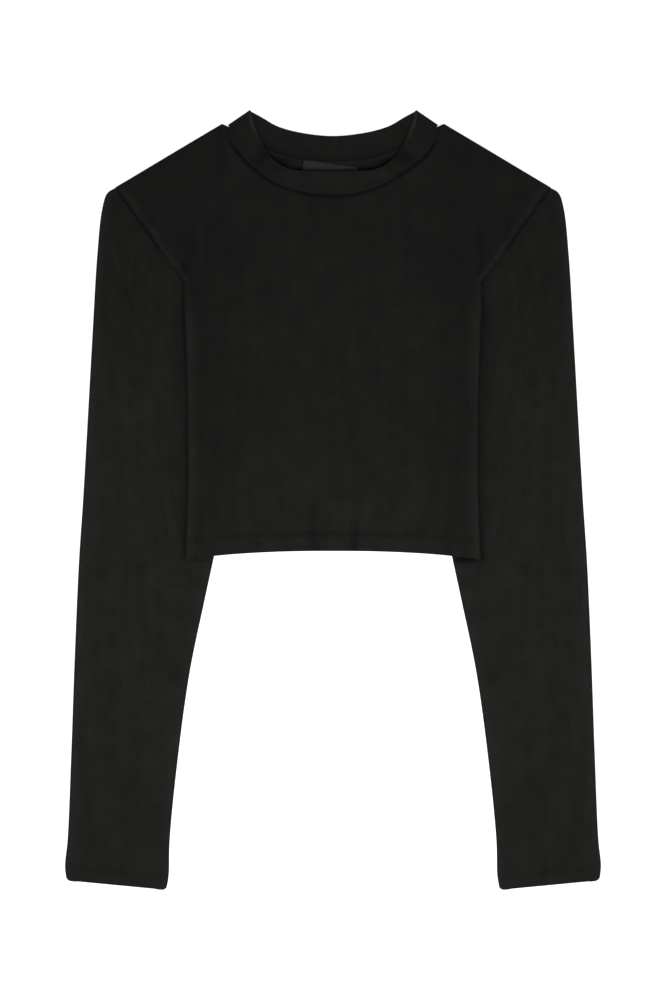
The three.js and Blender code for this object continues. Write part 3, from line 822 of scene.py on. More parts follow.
class Shader:
    """A node material that is being built round a Principled surface."""

    def __init__(self, name: str) -> None:
        """Starts an empty material with its surface and output."""
        self.material = bpy.data.materials.new(name)
        self.material.use_nodes = True
        self.tree = self.material.node_tree
        self.tree.nodes.clear()
        self.surface = self.node("ShaderNodeBsdfPrincipled")
        output = self.node("ShaderNodeOutputMaterial")
        self.link(self.surface.outputs["BSDF"], output.inputs["Surface"])

    def node(self, kind: str, **values: object) -> bpy.types.Node:
        """Adds a node.

        Args:
            kind: Its type's name.
            values: Some of its settings.

        Returns:
            The node.
        """
        node = self.tree.nodes.new(kind)
        for key, value in values.items():
            setattr(node, key, value)
        return node

    def link(self, source: bpy.types.NodeSocket, target: bpy.types.NodeSocket) -> None:
        """Joins an output to an input."""
        self.tree.links.new(source, target)

    def math(
        self,
        operation: str,
        first: bpy.types.NodeSocket,
        second: bpy.types.NodeSocket | float | None = None,
        third: bpy.types.NodeSocket | float | None = None,
    ) -> bpy.types.NodeSocket:
        """Adds a sum on sockets and numbers.

        Args:
            operation: The sum's name.
            first: Its first value.
            second: Its second value.
            third: Its third value.

        Returns:
            The socket of the result.
        """
        node = self.node("ShaderNodeMath", operation=operation)
        for index, value in enumerate((first, second, third)):
            if isinstance(value, bpy.types.NodeSocket):
                self.link(value, node.inputs[index])
            elif value is not None:
                node.inputs[index].default_value = value
        return node.outputs["Value"]

    def mark(self, name: str) -> bpy.types.NodeSocket:
        """Returns the value of one of the cloth's marks."""
        return self.node("ShaderNodeAttribute", attribute_name=name).outputs["Fac"]

    def bump(self, height: bpy.types.NodeSocket, strength: float, distance: float) -> None:
        """Raises the surface.

        Args:
            height: The socket of the height.
            strength: Its share.
            distance: Its full height.
        """
        node = self.node("ShaderNodeBump")
        node.inputs["Strength"].default_value = strength
        node.inputs["Distance"].default_value = distance
        self.link(height, node.inputs["Height"])
        self.link(node.outputs["Normal"], self.surface.inputs["Normal"])

    def mapping(
        self, vector: bpy.types.NodeSocket, scale: tuple[float, float, float]
    ) -> bpy.types.NodeSocket:
        """Stretches coordinates.

        Args:
            vector: The coordinates.
            scale: How much, along each axis.

        Returns:
            The stretched coordinates.
        """
        node = self.node("ShaderNodeMapping")
        node.inputs["Scale"].default_value = scale
        self.link(vector, node.inputs["Vector"])
        return node.outputs["Vector"]

    def noise(
        self, vector: bpy.types.NodeSocket, scale: float, detail: float, roughness: float
    ) -> bpy.types.NodeSocket:
        """Adds a soft random value.

        Args:
            vector: The coordinates.
            scale: How fine it is.
            detail: How many finer layers it has.
            roughness: How strong they are.

        Returns:
            Values from 0 to 1.
        """
        node = self.node("ShaderNodeTexNoise")
        node.inputs["Scale"].default_value = scale
        node.inputs["Detail"].default_value = detail
        node.inputs["Roughness"].default_value = roughness
        self.link(vector, node.inputs["Vector"])
        return node.outputs["Fac"]


@dataclass
class ClothGrid:
    """A grid of points that becomes a shell of cloth.

    The points run columns first, then rows. The chart holds the cloth's own coordinates.
    """

    points: Array
    chart: Array
    # tone scales the cloth's colour: painted shade in seams and creases, painted highlights on edges.
    tone: Array
    ripple: Array
    keep: Array | None = None
    tube: bool = False

    def shell(self, name: str, wall: float, material: bpy.types.Material) -> bpy.types.Object:
        """Makes the shell.

        Args:
            name: The piece's name.
            wall: Thickness of the cloth.
            material: Its finish.

        Returns:
            The object, which lies in the row's frame.
        """
        columns, rows = self.points.shape[0] - 1, self.points.shape[1] - 1
        mesh = bmesh.new()
        bmesh.ops.create_grid(mesh, x_segments=columns, y_segments=rows, size=0.5)
        chart = mesh.loops.layers.uv.new("cloth")
        tone = mesh.verts.layers.float.new("tone")
        ripple = mesh.verts.layers.float.new("ripple")
        dropped = []
        for vert in mesh.verts:
            column = round((vert.co.x + 0.5) * columns)
            row = round((vert.co.y + 0.5) * rows)
            for loop in vert.link_loops:
                loop[chart].uv = self.chart[column, row]
            vert.co = Vector(self.points[column, row]) * MM
            vert[tone] = self.tone[column, row]
            vert[ripple] = self.ripple[column, row]
            if self.keep is not None and not self.keep[column, row]:
                dropped.append(vert)
        bmesh.ops.delete(mesh, geom=dropped, context="VERTS")
        if self.tube:
            bmesh.ops.remove_doubles(mesh, verts=mesh.verts, dist=0.001 * MM)
        for face in mesh.faces:
            face.smooth = True
        piece = finished(name, mesh, material)
        solid = piece.modifiers.new("wall", "SOLIDIFY")
        solid.thickness = wall * MM
        solid.offset = 0.0
        solid.use_rim = True
        edge = piece.modifiers.new("soft_edge", "BEVEL")
        edge.width = 0.28 * wall * MM
        edge.segments = 2
        edge.limit_method = "ANGLE"
        edge.angle_limit = math.radians(50)
        return piece


def finished(name: str, mesh: bmesh.types.BMesh, material: bpy.types.Material) -> bpy.types.Object:
    """Turns a bmesh into an object of the scene that rides on the body.

    Args:
        name: The piece's name.
        mesh: Its mesh, which is freed.
        material: Its finish.

    Returns:
        The object.
    """
    data = bpy.data.meshes.new(name)
    mesh.to_mesh(data)
    mesh.free()
    data.materials.append(material)
    piece = bpy.data.objects.new(name, data)
    bpy.context.scene.collection.objects.link(piece)
    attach(piece, BODY)
    return piece


@dataclass
class NeckLines:
    """The neck seam and the band's free edge, on the front or on the back."""

    rows: Sequence[NeckRow]
    outward: Array = field(init=False)
    seam: Array = field(init=False)

    def __post_init__(self) -> None:
        """Works out which way the band's side fold faces, and the seam at a fine spacing."""
        turn = np.subtract(CUT.neck_peak, CUT.neck_notch)
        turn = turn / np.linalg.norm(turn)
        self.outward = np.array([turn[1], -turn[0]])
        self.seam = self.line(edge=False, parts=90)

    def line(self, edge: bool, parts: int) -> Array:
        """Draws the seam or the free edge from the -X side to the other.

        Args:
            edge: Whether it is the free edge.
            parts: How many even parts it has.

        Returns:
            Its points.
        """
        radius = (CUT.high - CUT.low + CUT.band_wall) / 2
        start = np.array(CUT.neck_peak if edge else CUT.neck_notch) - radius * self.outward
        half = [start, *(np.array(row.edge if edge else row.seam) for row in self.rows)]
        skews = [0.0, *(0.0 if edge else row.skew for row in self.rows)]
        left = [mirrored(point) + np.array([0.0, skew]) for point, skew in zip(half, skews)]
        return SmoothLine([*left, *half[-2::-1]]).spread(parts)


@dataclass
class BodyPly:
    """The front or the back: its panel, the side folds and the strips folded under it."""

    low: float
    over: float
    strip: float
    neck: NeckLines
    creases: Sequence[Crease]
    shades: Sequence[Crease]
    faces_up: bool
    cell: float = 2.0
    strip_parts: int = 18
    fold_parts: int = 12
    edge_ridge: float = 0.35
    edge_fade: float = 16.0
    base_tone: float = 0.93
    # Painted light that lifts the shade of the slope where the body falls past its folded strips.
    slope_light: float = 0.7
    shoulder_span: float = 46.0
    neck_span: float = 168.0

    def seam_relief(self, x: Array, up: Array) -> Array:
        """Works out how the armhole and neck seams draw the cloth in and fluff it up.

        Args:
            x: Places across.
            up: Places along.

        Returns:
            Heights in millimetres.
        """
        distance, along = nearest(np.abs(x), up, armhole_line())
        pucker = BODY_PUCKER.over(distance, along, np.where(x < 0, 0.0, 1.9))
        if not self.faces_up:
            return BACK_RIDGE.over(distance) + 0.6 * np.abs(pucker)
        armhole = pucker + seam_depth(along) * ARMHOLE_GROOVE.over(distance) + BODY_RIDGE.over(distance)
        seam, run = nearest(x, up, self.neck.seam)
        tuck = np.sin(run * 2 * math.pi / TUCK_PITCH) * NECK_TUCK.over(seam)
        return armhole + tuck + neck_depth(up) * NECK_GROOVE.over(seam) + NECK_RIDGE.over(seam)

    def hem_relief(self, x: Array, up: Array) -> Array:
        """Works out the turned-up cloth of the hem with its two sunk rows of stitching.

        Args:
            x: Places across.
            up: Places along.

        Returns:
            Heights in millimetres.
        """
        above = up - CUT.hem_up(x)
        low, high = CUT.hem_lines
        band = 0.4 * (1 - ease(above, high, high + 1.5))
        grooves = bell(above, low, 0.6) + bell(above, high, 0.6)
        wave = np.sin(x / 9.0) * np.sin(x / 23.0 + 1)
        if not self.faces_up:
            return 0.25 * grooves
        return band - 0.36 * grooves + 0.1 * wave * (1 - ease(above, 0, high))

    def height(self, x: Array, up: Array) -> Array:
        """Works out the mid height of the ply's panel.

        Args:
            x: Places across.
            up: Places along.

        Returns:
            Heights in millimetres.
        """
        lift = CUT.lift(np.abs(x), up)
        base = lerp(self.low, self.over, lift)
        slow = 0.12 * (drift(x, up, self.low) + (0 if self.faces_up else 1))
        creases = crease_height(self.creases, x, up, lift)
        relief = self.seam_relief(x, up) + self.hem_relief(x, up)
        inside = CUT.side_out(up) - np.abs(x)
        ridge = self.edge_ridge * bell(inside, 4.2, 2.2) * lift if self.faces_up else 0
        return base + creases + slow + relief + ridge

    def tone(self, x: Array, up: Array) -> Array:
        """Works out the painted shade and highlights: darker in cracks and seams, lighter on fold edges.

        Args:
            x: Places across.
            up: Places along.

        Returns:
            Shares of the cloth's own lightness.
        """
        out = np.abs(x)
        distance, along = nearest(out, up, armhole_line())
        seam = nearest(x, up, self.neck.seam)[0]
        neck_crack = FRONT_NECK_CRACK if self.faces_up else BACK_NECK_CRACK
        # Painted shade in the armhole seam and a painted highlight on the ridge beside it.
        tone = self.base_tone - BODY_CRACK.over(distance, along)
        tone += (0.4 + 0.15 * seam_wander(along)) * bell(distance, 4.0, 2.1)
        # Painted shade in the neck seam and a painted highlight beside it.
        tone += neck_crack.over(seam) * neck_depth(up) + NECK_LIGHT.over(seam)
        # Painted shade further up the body and towards the sides.
        tone -= WAIST_SHADE.over(up) + CHEST_SHADE.over(up)
        tone -= SIDE_SHADE.over(out) * (1 - SHOULDER_RELIEF.over(up))
        # Painted light on the slope past the folded strips.
        fall = CUT.fall(out, up)
        tone += self.slope_light * fall * (1 - fall) * ease(out, *CUT.rise_across)
        tone += self.edge_tone(out, up) + self.hem_tone(x, up)
        # Painted shade spots, and painted highlights where their rise is below 0.
        return np.clip(tone - crease_height(self.shades, x, up, np.zeros_like(x)), *TONE_RANGE)

    def edge_tone(self, out: Array, up: Array) -> Array:
        """Works out the painted highlight along the side fold and the painted shade at its edge, below the
        armhole.

        Args:
            out: Distances from the centre line.
            up: Places along.

        Returns:
            What the tone gains.
        """
        foot = CUT.armhole_foot[1]
        lights = sum(light.over(CUT.side_out(up) - out) for light in SIDE_LIGHTS)
        return lights * (1 - ease(up, foot - self.edge_fade, foot))

    def hem_tone(self, x: Array, up: Array) -> Array:
        """Works out how much lighter the turned-up hem is and the painted shade in its sunk rows of
        stitching.

        Args:
            x: Places across.
            up: Places along.

        Returns:
            What the tone gains.
        """
        above = up - CUT.hem_up(x)
        low, high = CUT.hem_lines
        rows = bell(above, low, ROW_WIDTH) + bell(above, high, ROW_WIDTH)
        turned_up = 0.07 * (1 - ease(above, low - 1, low))
        return turned_up - rows * (0.07 + 0.34 * bell(x, 0, 46))

    def ripple(self, x: Array, up: Array) -> Array:
        """Works out where the hem's stitching gathers the cloth in short ripples.

        Args:
            x: Places across.
            up: Places along.

        Returns:
            Shares from 0 to 1.
        """
        above = up - CUT.hem_up(x)
        places = bell(x, -112, 11) + bell(x, -49, 5) + bell(x, 51, 7) + bell(x, 107.5, 8)
        return places * bell(above, CUT.hem_lines[0], 3.0) * self.faces_up

    def shoulder_roll(self, x: Array, up: Array) -> Array:
        """Works out how far the shoulder edge leans to the other ply, where they are sewn.

        Args:
            x: Places across.
            up: Places along.

        Returns:
            Heights in millimetres.
        """
        tip, end = np.array(CUT.shoulder_tip), np.array(CUT.neck_point)
        turn = (end - tip) / np.linalg.norm(end - tip)
        inside = (np.abs(x) - tip[0]) * turn[1] - (up - tip[1]) * turn[0]
        lean = np.clip(1 - np.abs(inside) / 3.2, 0, 1)
        roll = (CUT.slack / 2 + 0.2) * (1 - np.sqrt(1 - lean**2))
        return -roll if self.faces_up else roll

    def top_line(self, shoulder_parts: int, neck_parts: int) -> Array:
        """Draws the upper edge: shoulder, neck and shoulder.

        Args:
            shoulder_parts: How many parts a shoulder has.
            neck_parts: How many parts the neck has.

        Returns:
            Its points.
        """
        stub = max(2, round(4 / self.cell))
        tip, end, start = (np.array(place) for place in (CUT.shoulder_tip, CUT.neck_point, CUT.neck_start))
        straight = [lerp(tip, end, share) for share in np.linspace(0, 1, shoulder_parts - stub + 1)]
        short = [lerp(end, start, share) for share in np.linspace(0, 1, stub + 1)[1:]]
        right = np.array(straight + short)
        seam = moved_off(self.neck.line(edge=False, parts=neck_parts), -SEAM_OVERLAP, (0, CUT.neck_peak[1]))
        return np.concatenate([mirrored(right), seam[1:-1], right[::-1]])

    def grid(self) -> ClothGrid:
        """Lays the whole ply out as one grid, with the strips only as high as they reach.

        Returns:
            The grid.
        """
        shoulder_parts = round(self.shoulder_span / self.cell)
        neck_parts = round(self.neck_span / self.cell)
        shares, tops = self.lower_rows()
        rises = self.upper_rises()
        columns = self.columns(neck_parts + 2 * shoulder_parts)
        shape = (len(columns), len(shares) + len(rises) - 1)
        points = np.zeros((*shape, 3))
        chart = np.zeros((*shape, 2))
        keep = np.ones(shape, dtype=bool)
        for index, (zone, side, value) in enumerate(columns):
            place, cloth = self.lower_column(zone, side, value, shares, tops)
            points[index, : len(shares)] = place
            chart[index, : len(shares)] = cloth
        lip = self.fold_parts // 2
        first = self.strip_parts + lip
        last = len(columns) - 1 - first
        strip_rows = int(np.sum(tops == CUT.strip_top))
        keep[:first, strip_rows:] = False
        keep[last + 1 :, strip_rows:] = False
        bottom = points[first : last + 1, len(shares) - 1, :2]
        top = self.with_lips(self.top_line(shoulder_parts, neck_parts), lip)
        upper = self.upper(bottom, top, rises)
        points[first : last + 1, len(shares) :] = upper[:, 1:]
        chart[first : last + 1, len(shares) :] = upper[:, 1:, :2]
        tone = self.tone(points[..., 0], points[..., 1])
        tone[:first], tone[last + 1 :] = 1.0, 1.0
        return ClothGrid(points, chart, tone, self.ripple(points[..., 0], points[..., 1]), keep)

    def lower_rows(self) -> tuple[Array, Array]:
        """Spaces the rows below the armhole foot.

        Returns:
            For each row its share of the way up, and up to where.
        """
        length = CUT.strip_top - CUT.hem_mid_up
        low, high = CUT.hem_lines
        middle = (low + high) / 2
        edge = [0, 0.5, 1.2, 2.4, 4.5, 7, 9.5, 11.3, 12.3, 12.9]
        edge += [low, 14.1, middle, 15.5, high, 16.7, 17.6, 18.8]
        above = np.arange(20.4, length - self.cell / 2, self.cell * 1.1)
        hem = np.concatenate([edge, above, [length]]) / length
        foot = np.linspace(CUT.strip_top, CUT.armhole_foot[1], round(30 / self.cell) + 1)[1:]
        shares = np.concatenate([hem, np.ones_like(foot)])
        return shares, np.concatenate([np.full_like(hem, CUT.strip_top), foot])

    def upper_rises(self) -> Array:
        """Returns the rows above the armhole foot as shares of the way, closer at the neck seam."""
        fine = 1 - np.array([0.056, 0.045, 0.036, 0.029, 0.023, 0.0175, 0.0125, 0.008, 0.004, 0])
        return np.concatenate([np.linspace(0, 0.93, round(96 / self.cell)), fine])

    def columns(self, main_parts: int) -> list[tuple[Zone, int, float]]:
        """Lists the columns from the -X side to the other.

        Args:
            main_parts: How many parts the panel between the folds has.

        Returns:
            Each one's zone, side and share.
        """
        strip = [(Zone.STRIP, part / self.strip_parts) for part in range(self.strip_parts, 0, -1)]
        fold = [(Zone.FOLD, part / self.fold_parts) for part in range(self.fold_parts, 0, -1)]
        left = [(zone, -1, share) for zone, share in strip + fold]
        main = [(Zone.MAIN, 0, share) for share in np.linspace(-1, 1, main_parts + 1)]
        right = [(zone, 1, share) for zone, _, share in reversed(left)]
        return left + main + right

    def lower_column(
        self, zone: Zone, side: int, value: float, shares: Array, tops: Array
    ) -> tuple[Array, Array]:
        """Places one column below the armhole foot.

        Args:
            zone: What the column belongs to.
            side: -1 or 1 for the sides, 0 in the middle.
            value: Its share across its zone.
            shares: The rows' shares of the way up.
            tops: Up to where each row's share counts.

        Returns:
            The points and the cloth's own coordinates.
        """
        if zone is Zone.MAIN:
            rough = lerp(CUT.hem_up(np.full_like(tops, value * CUT.waist[0])), tops, shares)
            x = value * (CUT.side_out(rough) - CUT.fold_reach)
            up = lerp(CUT.hem_up(x), tops, shares)
            return np.stack([x, up, self.height(x, up)], axis=-1), np.stack([x, up], axis=-1)
        strip = value if zone is Zone.STRIP else 0.0
        angle = math.pi if zone is Zone.STRIP else math.pi * value
        radius = (self.over - self.strip) / 2
        hem = CUT.hem_up(np.full_like(tops, lerp(CUT.hem_corner[0], CUT.side_seam[0], strip)))
        up = lerp(hem, lerp(tops, CUT.side_seam[1], strip), shares)
        fold_out = CUT.side_out(up) - CUT.fold_reach
        lift = CUT.lift(fold_out, up)
        out = lerp(fold_out, CUT.side_seam[0], strip)
        height = np.full_like(up, self.strip)
        if zone is Zone.FOLD:
            out = fold_out + lerp(CUT.fold_reach, radius, lift) * math.sin(angle)
            edge = self.height(side * fold_out, up)
            drop = (edge - self.strip) / 2 * lift
            if self.faces_up:
                closed = np.maximum(drop, edge - CUT.lip_rest)
                drop = lerp(drop, closed, ease(up, CUT.strip_top, CUT.strip_top + 2.5))
            height = edge - drop * (1 - math.cos(angle))
        cloth = fold_out + radius * angle + (fold_out - out if zone is Zone.STRIP else 0)
        points = np.stack([side * out, up, height], axis=-1)
        return points, np.stack([side * cloth, up], axis=-1)

    def with_lips(self, top: Array, parts: int) -> Array:
        """Adds narrow columns at both ends of the upper edge, above the lips of the folds.

        Args:
            top: Points of the upper edge.
            parts: How many columns each lip has.

        Returns:
            All its points.
        """
        shares = np.arange(1, parts + 1) / (2 * (parts + 1))
        left = np.array([lerp(top[0], top[1], share) for share in shares])
        return np.concatenate([top[:1], left, top[1:-1], mirrored(left)[::-1], top[-1:]])

    def upper(self, bottom: Array, top: Array, rises: Array) -> Array:
        """Spans the part above the armhole foot between its four edges.

        Args:
            bottom: Points of its lower edge.
            top: Points of its upper edge.
            rises: The rows' shares of the way up.

        Returns:
            The grid's points.
        """
        armhole = SmoothLine(ARMHOLE).along(rises)
        u = np.linspace(0, 1, len(bottom))[:, None, None]
        v = rises[None, :, None]
        plan = (1 - v) * bottom[:, None] + v * top[:, None]
        plan = plan + (1 - u) * mirrored(armhole)[None] + u * armhole[None]
        plan -= (1 - u) * (1 - v) * bottom[0] + u * (1 - v) * bottom[-1]
        plan -= (1 - u) * v * top[0] + u * v * top[-1]
        plan = self.relaxed(plan)
        x, up = plan[..., 0], plan[..., 1]
        height = self.height(x, up) + self.shoulder_roll(x, up)
        return np.stack([x, up, height], axis=-1)

    def relaxed(self, plan: Array) -> Array:
        """Evens the cells out where the shoulder meets the neck, so that none crosses another.

        Args:
            plan: The grid's places.

        Returns:
            The evened places.
        """
        corner = np.array([CUT.neck_start[0] - 1, CUT.neck_start[1] - 16])
        place = np.abs(plan[1:-1, 1:-1] * [1, 0]) + plan[1:-1, 1:-1] * [0, 1]
        weight = 0.9 * bell(np.linalg.norm(place - corner, axis=-1), 0, 24)[..., None]
        for _ in range(160):
            around = (plan[2:, 1:-1] + plan[:-2, 1:-1] + plan[1:-1, 2:] + plan[1:-1, :-2]) / 4
            plan[1:-1, 1:-1] += weight * (around - plan[1:-1, 1:-1])
        return plan


@dataclass
class Sleeve:
    """One sleeve: a flattened tube from the armhole to the cuff."""

    side: Side
    creases: Sequence[Crease]
    shades: Sequence[Crease]
    # Painted shade on the sleeve beside the body's side edge: its depth and its width.
    body_edge_shade: tuple[float, float]
    cell: float = 2.6
    roll_parts: int = 8
    loft: float = 1.3
    loft_from: tuple[float, float] = (127.5, -58.0)
    loft_over: float = 16.0
    rim: float = 6.0
    corner: float = 3.4
    foot_in: float = 4.5
    fold_span: float = 30.0
    hidden_span: float = 50.0
    bend_fade: int = 6

    @property
    def node(self) -> str:
        """The CAD node's name."""
        return f"sleeve_{self.side.name.lower()}"

    @property
    def reach(self) -> float:
        """How far the roll at a side edge reaches past the flat plies."""
        return (CUT.high - CUT.low + CUT.cloth) / 2

    def end(self) -> Array:
        """Draws the sleeve's end: down the armhole, under the side fold and in to the underarm.

        Returns:
            Its points.
        """
        parts = round(ARMHOLE_LONG / self.cell)
        seam = SmoothLine(ARMHOLE).along(np.linspace(0, 1 - self.reach / ARMHOLE_LONG, parts))[::-1]
        seam = moved_off(seam, -SEAM_OVERLAP, (0, CUT.armhole_foot[1]))
        foot = np.array([CUT.armhole_foot[0] - self.foot_in, CUT.strip_top])
        underarm = np.array(SLEEVE_ROWS[0].inner)
        down = np.linspace(seam[-1], foot, round(self.fold_span / self.cell) + 1)[1:]
        hidden = np.linspace(foot, underarm, round(self.hidden_span / self.cell) + 1)[1:]
        return np.concatenate([seam, down, hidden])

    def upper_height(self, out: Array, up: Array, run_in: Array) -> Array:
        """Returns the mid height of the upper ply.

        Args:
            out: Distances from the centre line.
            up: Places along.
            run_in: How far each place is from the nearer side edge of the sleeve.

        Returns:
            Heights in millimetres.
        """
        beside = ease(out, self.loft_from[0], self.loft_from[0] + self.loft_over)
        below = ease(-up, -self.loft_from[1], -self.loft_from[1] + self.loft_over)
        free = np.maximum(beside, below)
        round_edge = np.sin(np.clip(run_in / self.rim, 0, 1) * math.pi / 2)
        distance, along = nearest(out, up, armhole_line())
        pucker = SLEEVE_PUCKER.over(distance, along, self.side.value)
        sewn = pucker + seam_depth(along) * ARMHOLE_GROOVE.over(distance) + SLEEVE_RIDGE.over(distance)
        shown = ease(up - CUT.strip_top, -4, 24) * ease(out, CUT.armhole_foot[0] - 3, CUT.armhole_foot[0])
        swell = round_edge * free * (1 - shown * (1 - ease(distance, 0, 15)))
        creases = crease_height(self.creases, self.side.value * out, up, np.zeros_like(out))
        slow = 0.14 * drift(self.side.value * out, up, 1.0 + self.side.value)
        return CUT.high + swell * (self.loft + creases + slow) + sewn * shown

    def cuff_relief(self, from_edge: float, x: Array) -> Array:
        """Works out the turned-up cloth of the cuff with its two sunk rows of stitching.

        Args:
            from_edge: Distance from the cuff's edge.
            x: Places across.

        Returns:
            Heights in millimetres.
        """
        low, high = CUT.cuff_lines
        grooves = float(bell(from_edge, low, ROW_WIDTH) + bell(from_edge, high, ROW_WIDTH))
        fades = 1 - float(ease(from_edge, high, high + 1.6))
        return 0.4 * fades - 0.36 * grooves + 0.08 * np.sin(x / 7.0) * (1 - float(ease(from_edge, 0, high)))

    def upper_tone(self, out: Array, up: Array, run_in: Array, from_edge: float) -> Array:
        """Works out the painted shade and highlights of the upper ply: darker in the seam, beside the body
        and towards the ends, lighter on its edges.

        Args:
            out: Distances from the centre line.
            up: Places along.
            run_in: Distances from the nearer side edge.
            from_edge: Distance from the cuff's edge.

        Returns:
            Shares of the cloth's own lightness.
        """
        # Painted shade in the armhole seam.
        seam = SLEEVE_CRACK.over(*nearest(out, up, armhole_line()))
        # Painted shade where the sleeve runs under the body's side edge.
        beside = out - CUT.side_out(up)
        hem, foot = CUT.hem_corner[1], CUT.armhole_foot[1]
        window = ease(up, hem - 1, hem + 1) * (1 - ease(up, foot - 9.5, foot + 2.5))
        depth, spread = self.body_edge_shade
        body_edge_shade = (depth * bell(beside, 1.1, spread) + 0.08 * bell(beside, 0, 1.0)) * window
        # Painted shade in the cuff's sunk rows, painted highlights on the rounded edges and a lighter cuff
        # band.
        low, high = CUT.cuff_lines
        rows = 0.12 * float(bell(from_edge, low, ROW_WIDTH) + bell(from_edge, high, ROW_WIDTH))
        rim = sum(light.over(run_in) for light in CUFF_LIGHTS)
        band = 0.05 * (1 - float(ease(from_edge, low, high)))
        # Painted shade spots, and darker towards both ends of the sleeve.
        spots = crease_height(self.shades, self.side.value * out, up, np.zeros_like(out))
        ends = SLEEVE_TOP_SHADE.over(up) + SLEEVE_END_SHADE.over(-up)
        return np.clip(1 - seam - body_edge_shade - rows - spots - ends + rim + band, *TONE_RANGE)

    def stations(self) -> tuple[Array, Array]:
        """Spaces the rings down the sleeve.

        Returns:
            Their shares of the way and distances from the cuff.
        """
        shares, run = OUTER_EDGE.measured()
        low, high = CUT.cuff_lines
        edge = [0, 0.2, 0.6, 1.2, 2.2, 3.2, 4.5, 7, 8.7, 9.3]
        cuff = np.array([*edge, low, 10.6, 11.2, 11.9, high, 13.2, 14.4, 16.5, 19])
        start = np.array([0, 0.5, 1.1, 1.9, 2.9, 4.2, 5.9])
        at = np.concatenate([start, np.arange(8, run[-1] - 22, self.cell), run[-1] - cuff[::-1]])
        return np.interp(at, run, shares), run[-1] - at

    def grid(self) -> ClothGrid:
        """Lays the sleeve out as rings: upper ply, inner edge, lower ply and outer edge.

        Returns:
            The grid.
        """
        end = self.end()
        steps = np.concatenate([[0], np.linalg.norm(np.diff(end, axis=0), axis=1)])
        shares = np.cumsum(steps) / steps.sum()
        stations = list(zip(*self.stations()))
        bend = end - self.straight(*stations[0], shares)[0]
        rings, charts, tones = [], [], []
        for station, from_edge in stations:
            plan, across, width = self.straight(station, from_edge, shares)
            plan = plan + bend * (1 - station) ** self.bend_fade
            out, up = plan[:, 0], plan[:, 1]
            run_in = np.minimum(shares, 1 - shares) * width
            top = self.upper_height(out, up, run_in)
            top = top + self.cuff_relief(from_edge, out) * np.minimum(1, run_in / 3)
            rings.append(self.ring(plan, across, top, run_in, from_edge))
            charts.append(self.ring_chart(len(plan), width, from_edge))
            tone = np.ones(len(rings[-1]))
            tone[: len(plan)] = self.upper_tone(out, up, run_in, from_edge)
            tones.append(tone)
        points = np.array(rings).transpose(1, 0, 2)
        points[..., 0] *= self.side.value
        turn = self.side.value
        chart = np.array(charts).transpose(1, 0, 2)[::turn]
        tone = np.array(tones).T[::turn]
        return ClothGrid(points[::turn], chart, tone, np.zeros_like(tone), tube=True)

    def straight(self, station: float, from_edge: float, shares: Array) -> tuple[Array, Array, float]:
        """Lays the places of one ring straight across the sleeve.

        Args:
            station: The ring's share of the way down.
            from_edge: Its distance from the cuff's edge, where the corners are rounded.
            shares: The places' shares across.

        Returns:
            The places, the direction from the outer to the inner edge, and the width.
        """
        outer_at, inner_at = OUTER_EDGE.at(station), INNER_EDGE.at(station)
        width = float(np.linalg.norm(inner_at - outer_at))
        across = (inner_at - outer_at) / width
        corner = self.corner - math.sqrt(self.corner**2 - max(0.0, self.corner - from_edge) ** 2)
        start = outer_at + across * (self.reach + corner)
        stop = inner_at - across * (self.reach + corner)
        return lerp(start, stop, shares[:, None]), across, width

    def ring(self, plan: Array, across: Array, top: Array, run_in: Array, from_edge: float) -> Array:
        """Closes one ring of the tube.

        Args:
            plan: Places across the sleeve.
            across: Direction from the outer to the inner edge.
            top: Mid heights of the upper ply.
            run_in: Distances from the nearer side edge.
            from_edge: Distance from the cuff's edge.

        Returns:
            The ring's points, with the first one again at the end.
        """
        angles = np.linspace(0, math.pi, self.roll_parts + 1)[1:-1]
        swell = 0.16 * (1 + drift(plan[:, 0], plan[:, 1], 4.0)) * np.clip(run_in / self.rim, 0, 1)
        bottom = CUT.low + swell + 0.2 * max(0.0, 1 - from_edge / 3)
        upper = np.column_stack([plan, top])
        lower = np.column_stack([plan, bottom])[::-1]
        inner = [self.rolled(plan[-1], across, angle) for angle in angles]
        outer = [self.rolled(plan[0], -across, angle) for angle in angles[::-1]]
        return np.concatenate([upper, inner, lower, outer, upper[:1]])

    def rolled(self, start: Array, way: Array, angle: float) -> Array:
        """Returns a point of a side edge's roll at an angle from the upper ply."""
        radius = (CUT.high - CUT.low) / 2
        return np.append(start + way * radius * math.sin(angle), CUT.low + radius + radius * math.cos(angle))

    def ring_chart(self, count: int, width: float, from_edge: float) -> Array:
        """Works out a ring's place on the cloth.

        Args:
            count: How many points a ply has.
            width: How wide it is.
            from_edge: Distance from the cuff's edge.

        Returns:
            Places round the tube and along it.
        """
        roll = math.pi * (CUT.high - CUT.low) / 2
        upper = np.linspace(0, width, count)
        folds = np.linspace(0, roll, self.roll_parts + 1)[1:-1]
        round_it = np.concatenate([upper, width + folds, width + roll + upper, 2 * width + roll + folds])
        round_it = np.append(round_it, 2 * (width + roll))
        return np.column_stack([round_it, np.full_like(round_it, from_edge)])

    def cuff_lines(self, grid: ClothGrid) -> list[Array]:
        """Finds the two rows of stitching across the upper ply of the cuff.

        Args:
            grid: The sleeve's grid.

        Returns:
            The points of each row.
        """
        count = len(self.end())
        upper = grid.points[:: self.side.value][:count]
        from_cuff = self.stations()[1]
        rings = [int(np.argmin(np.abs(from_cuff - above))) for above in CUT.cuff_lines]
        return [upper[2:-2, ring] + np.array([0, 0, CUT.cloth / 2]) for ring in rings]


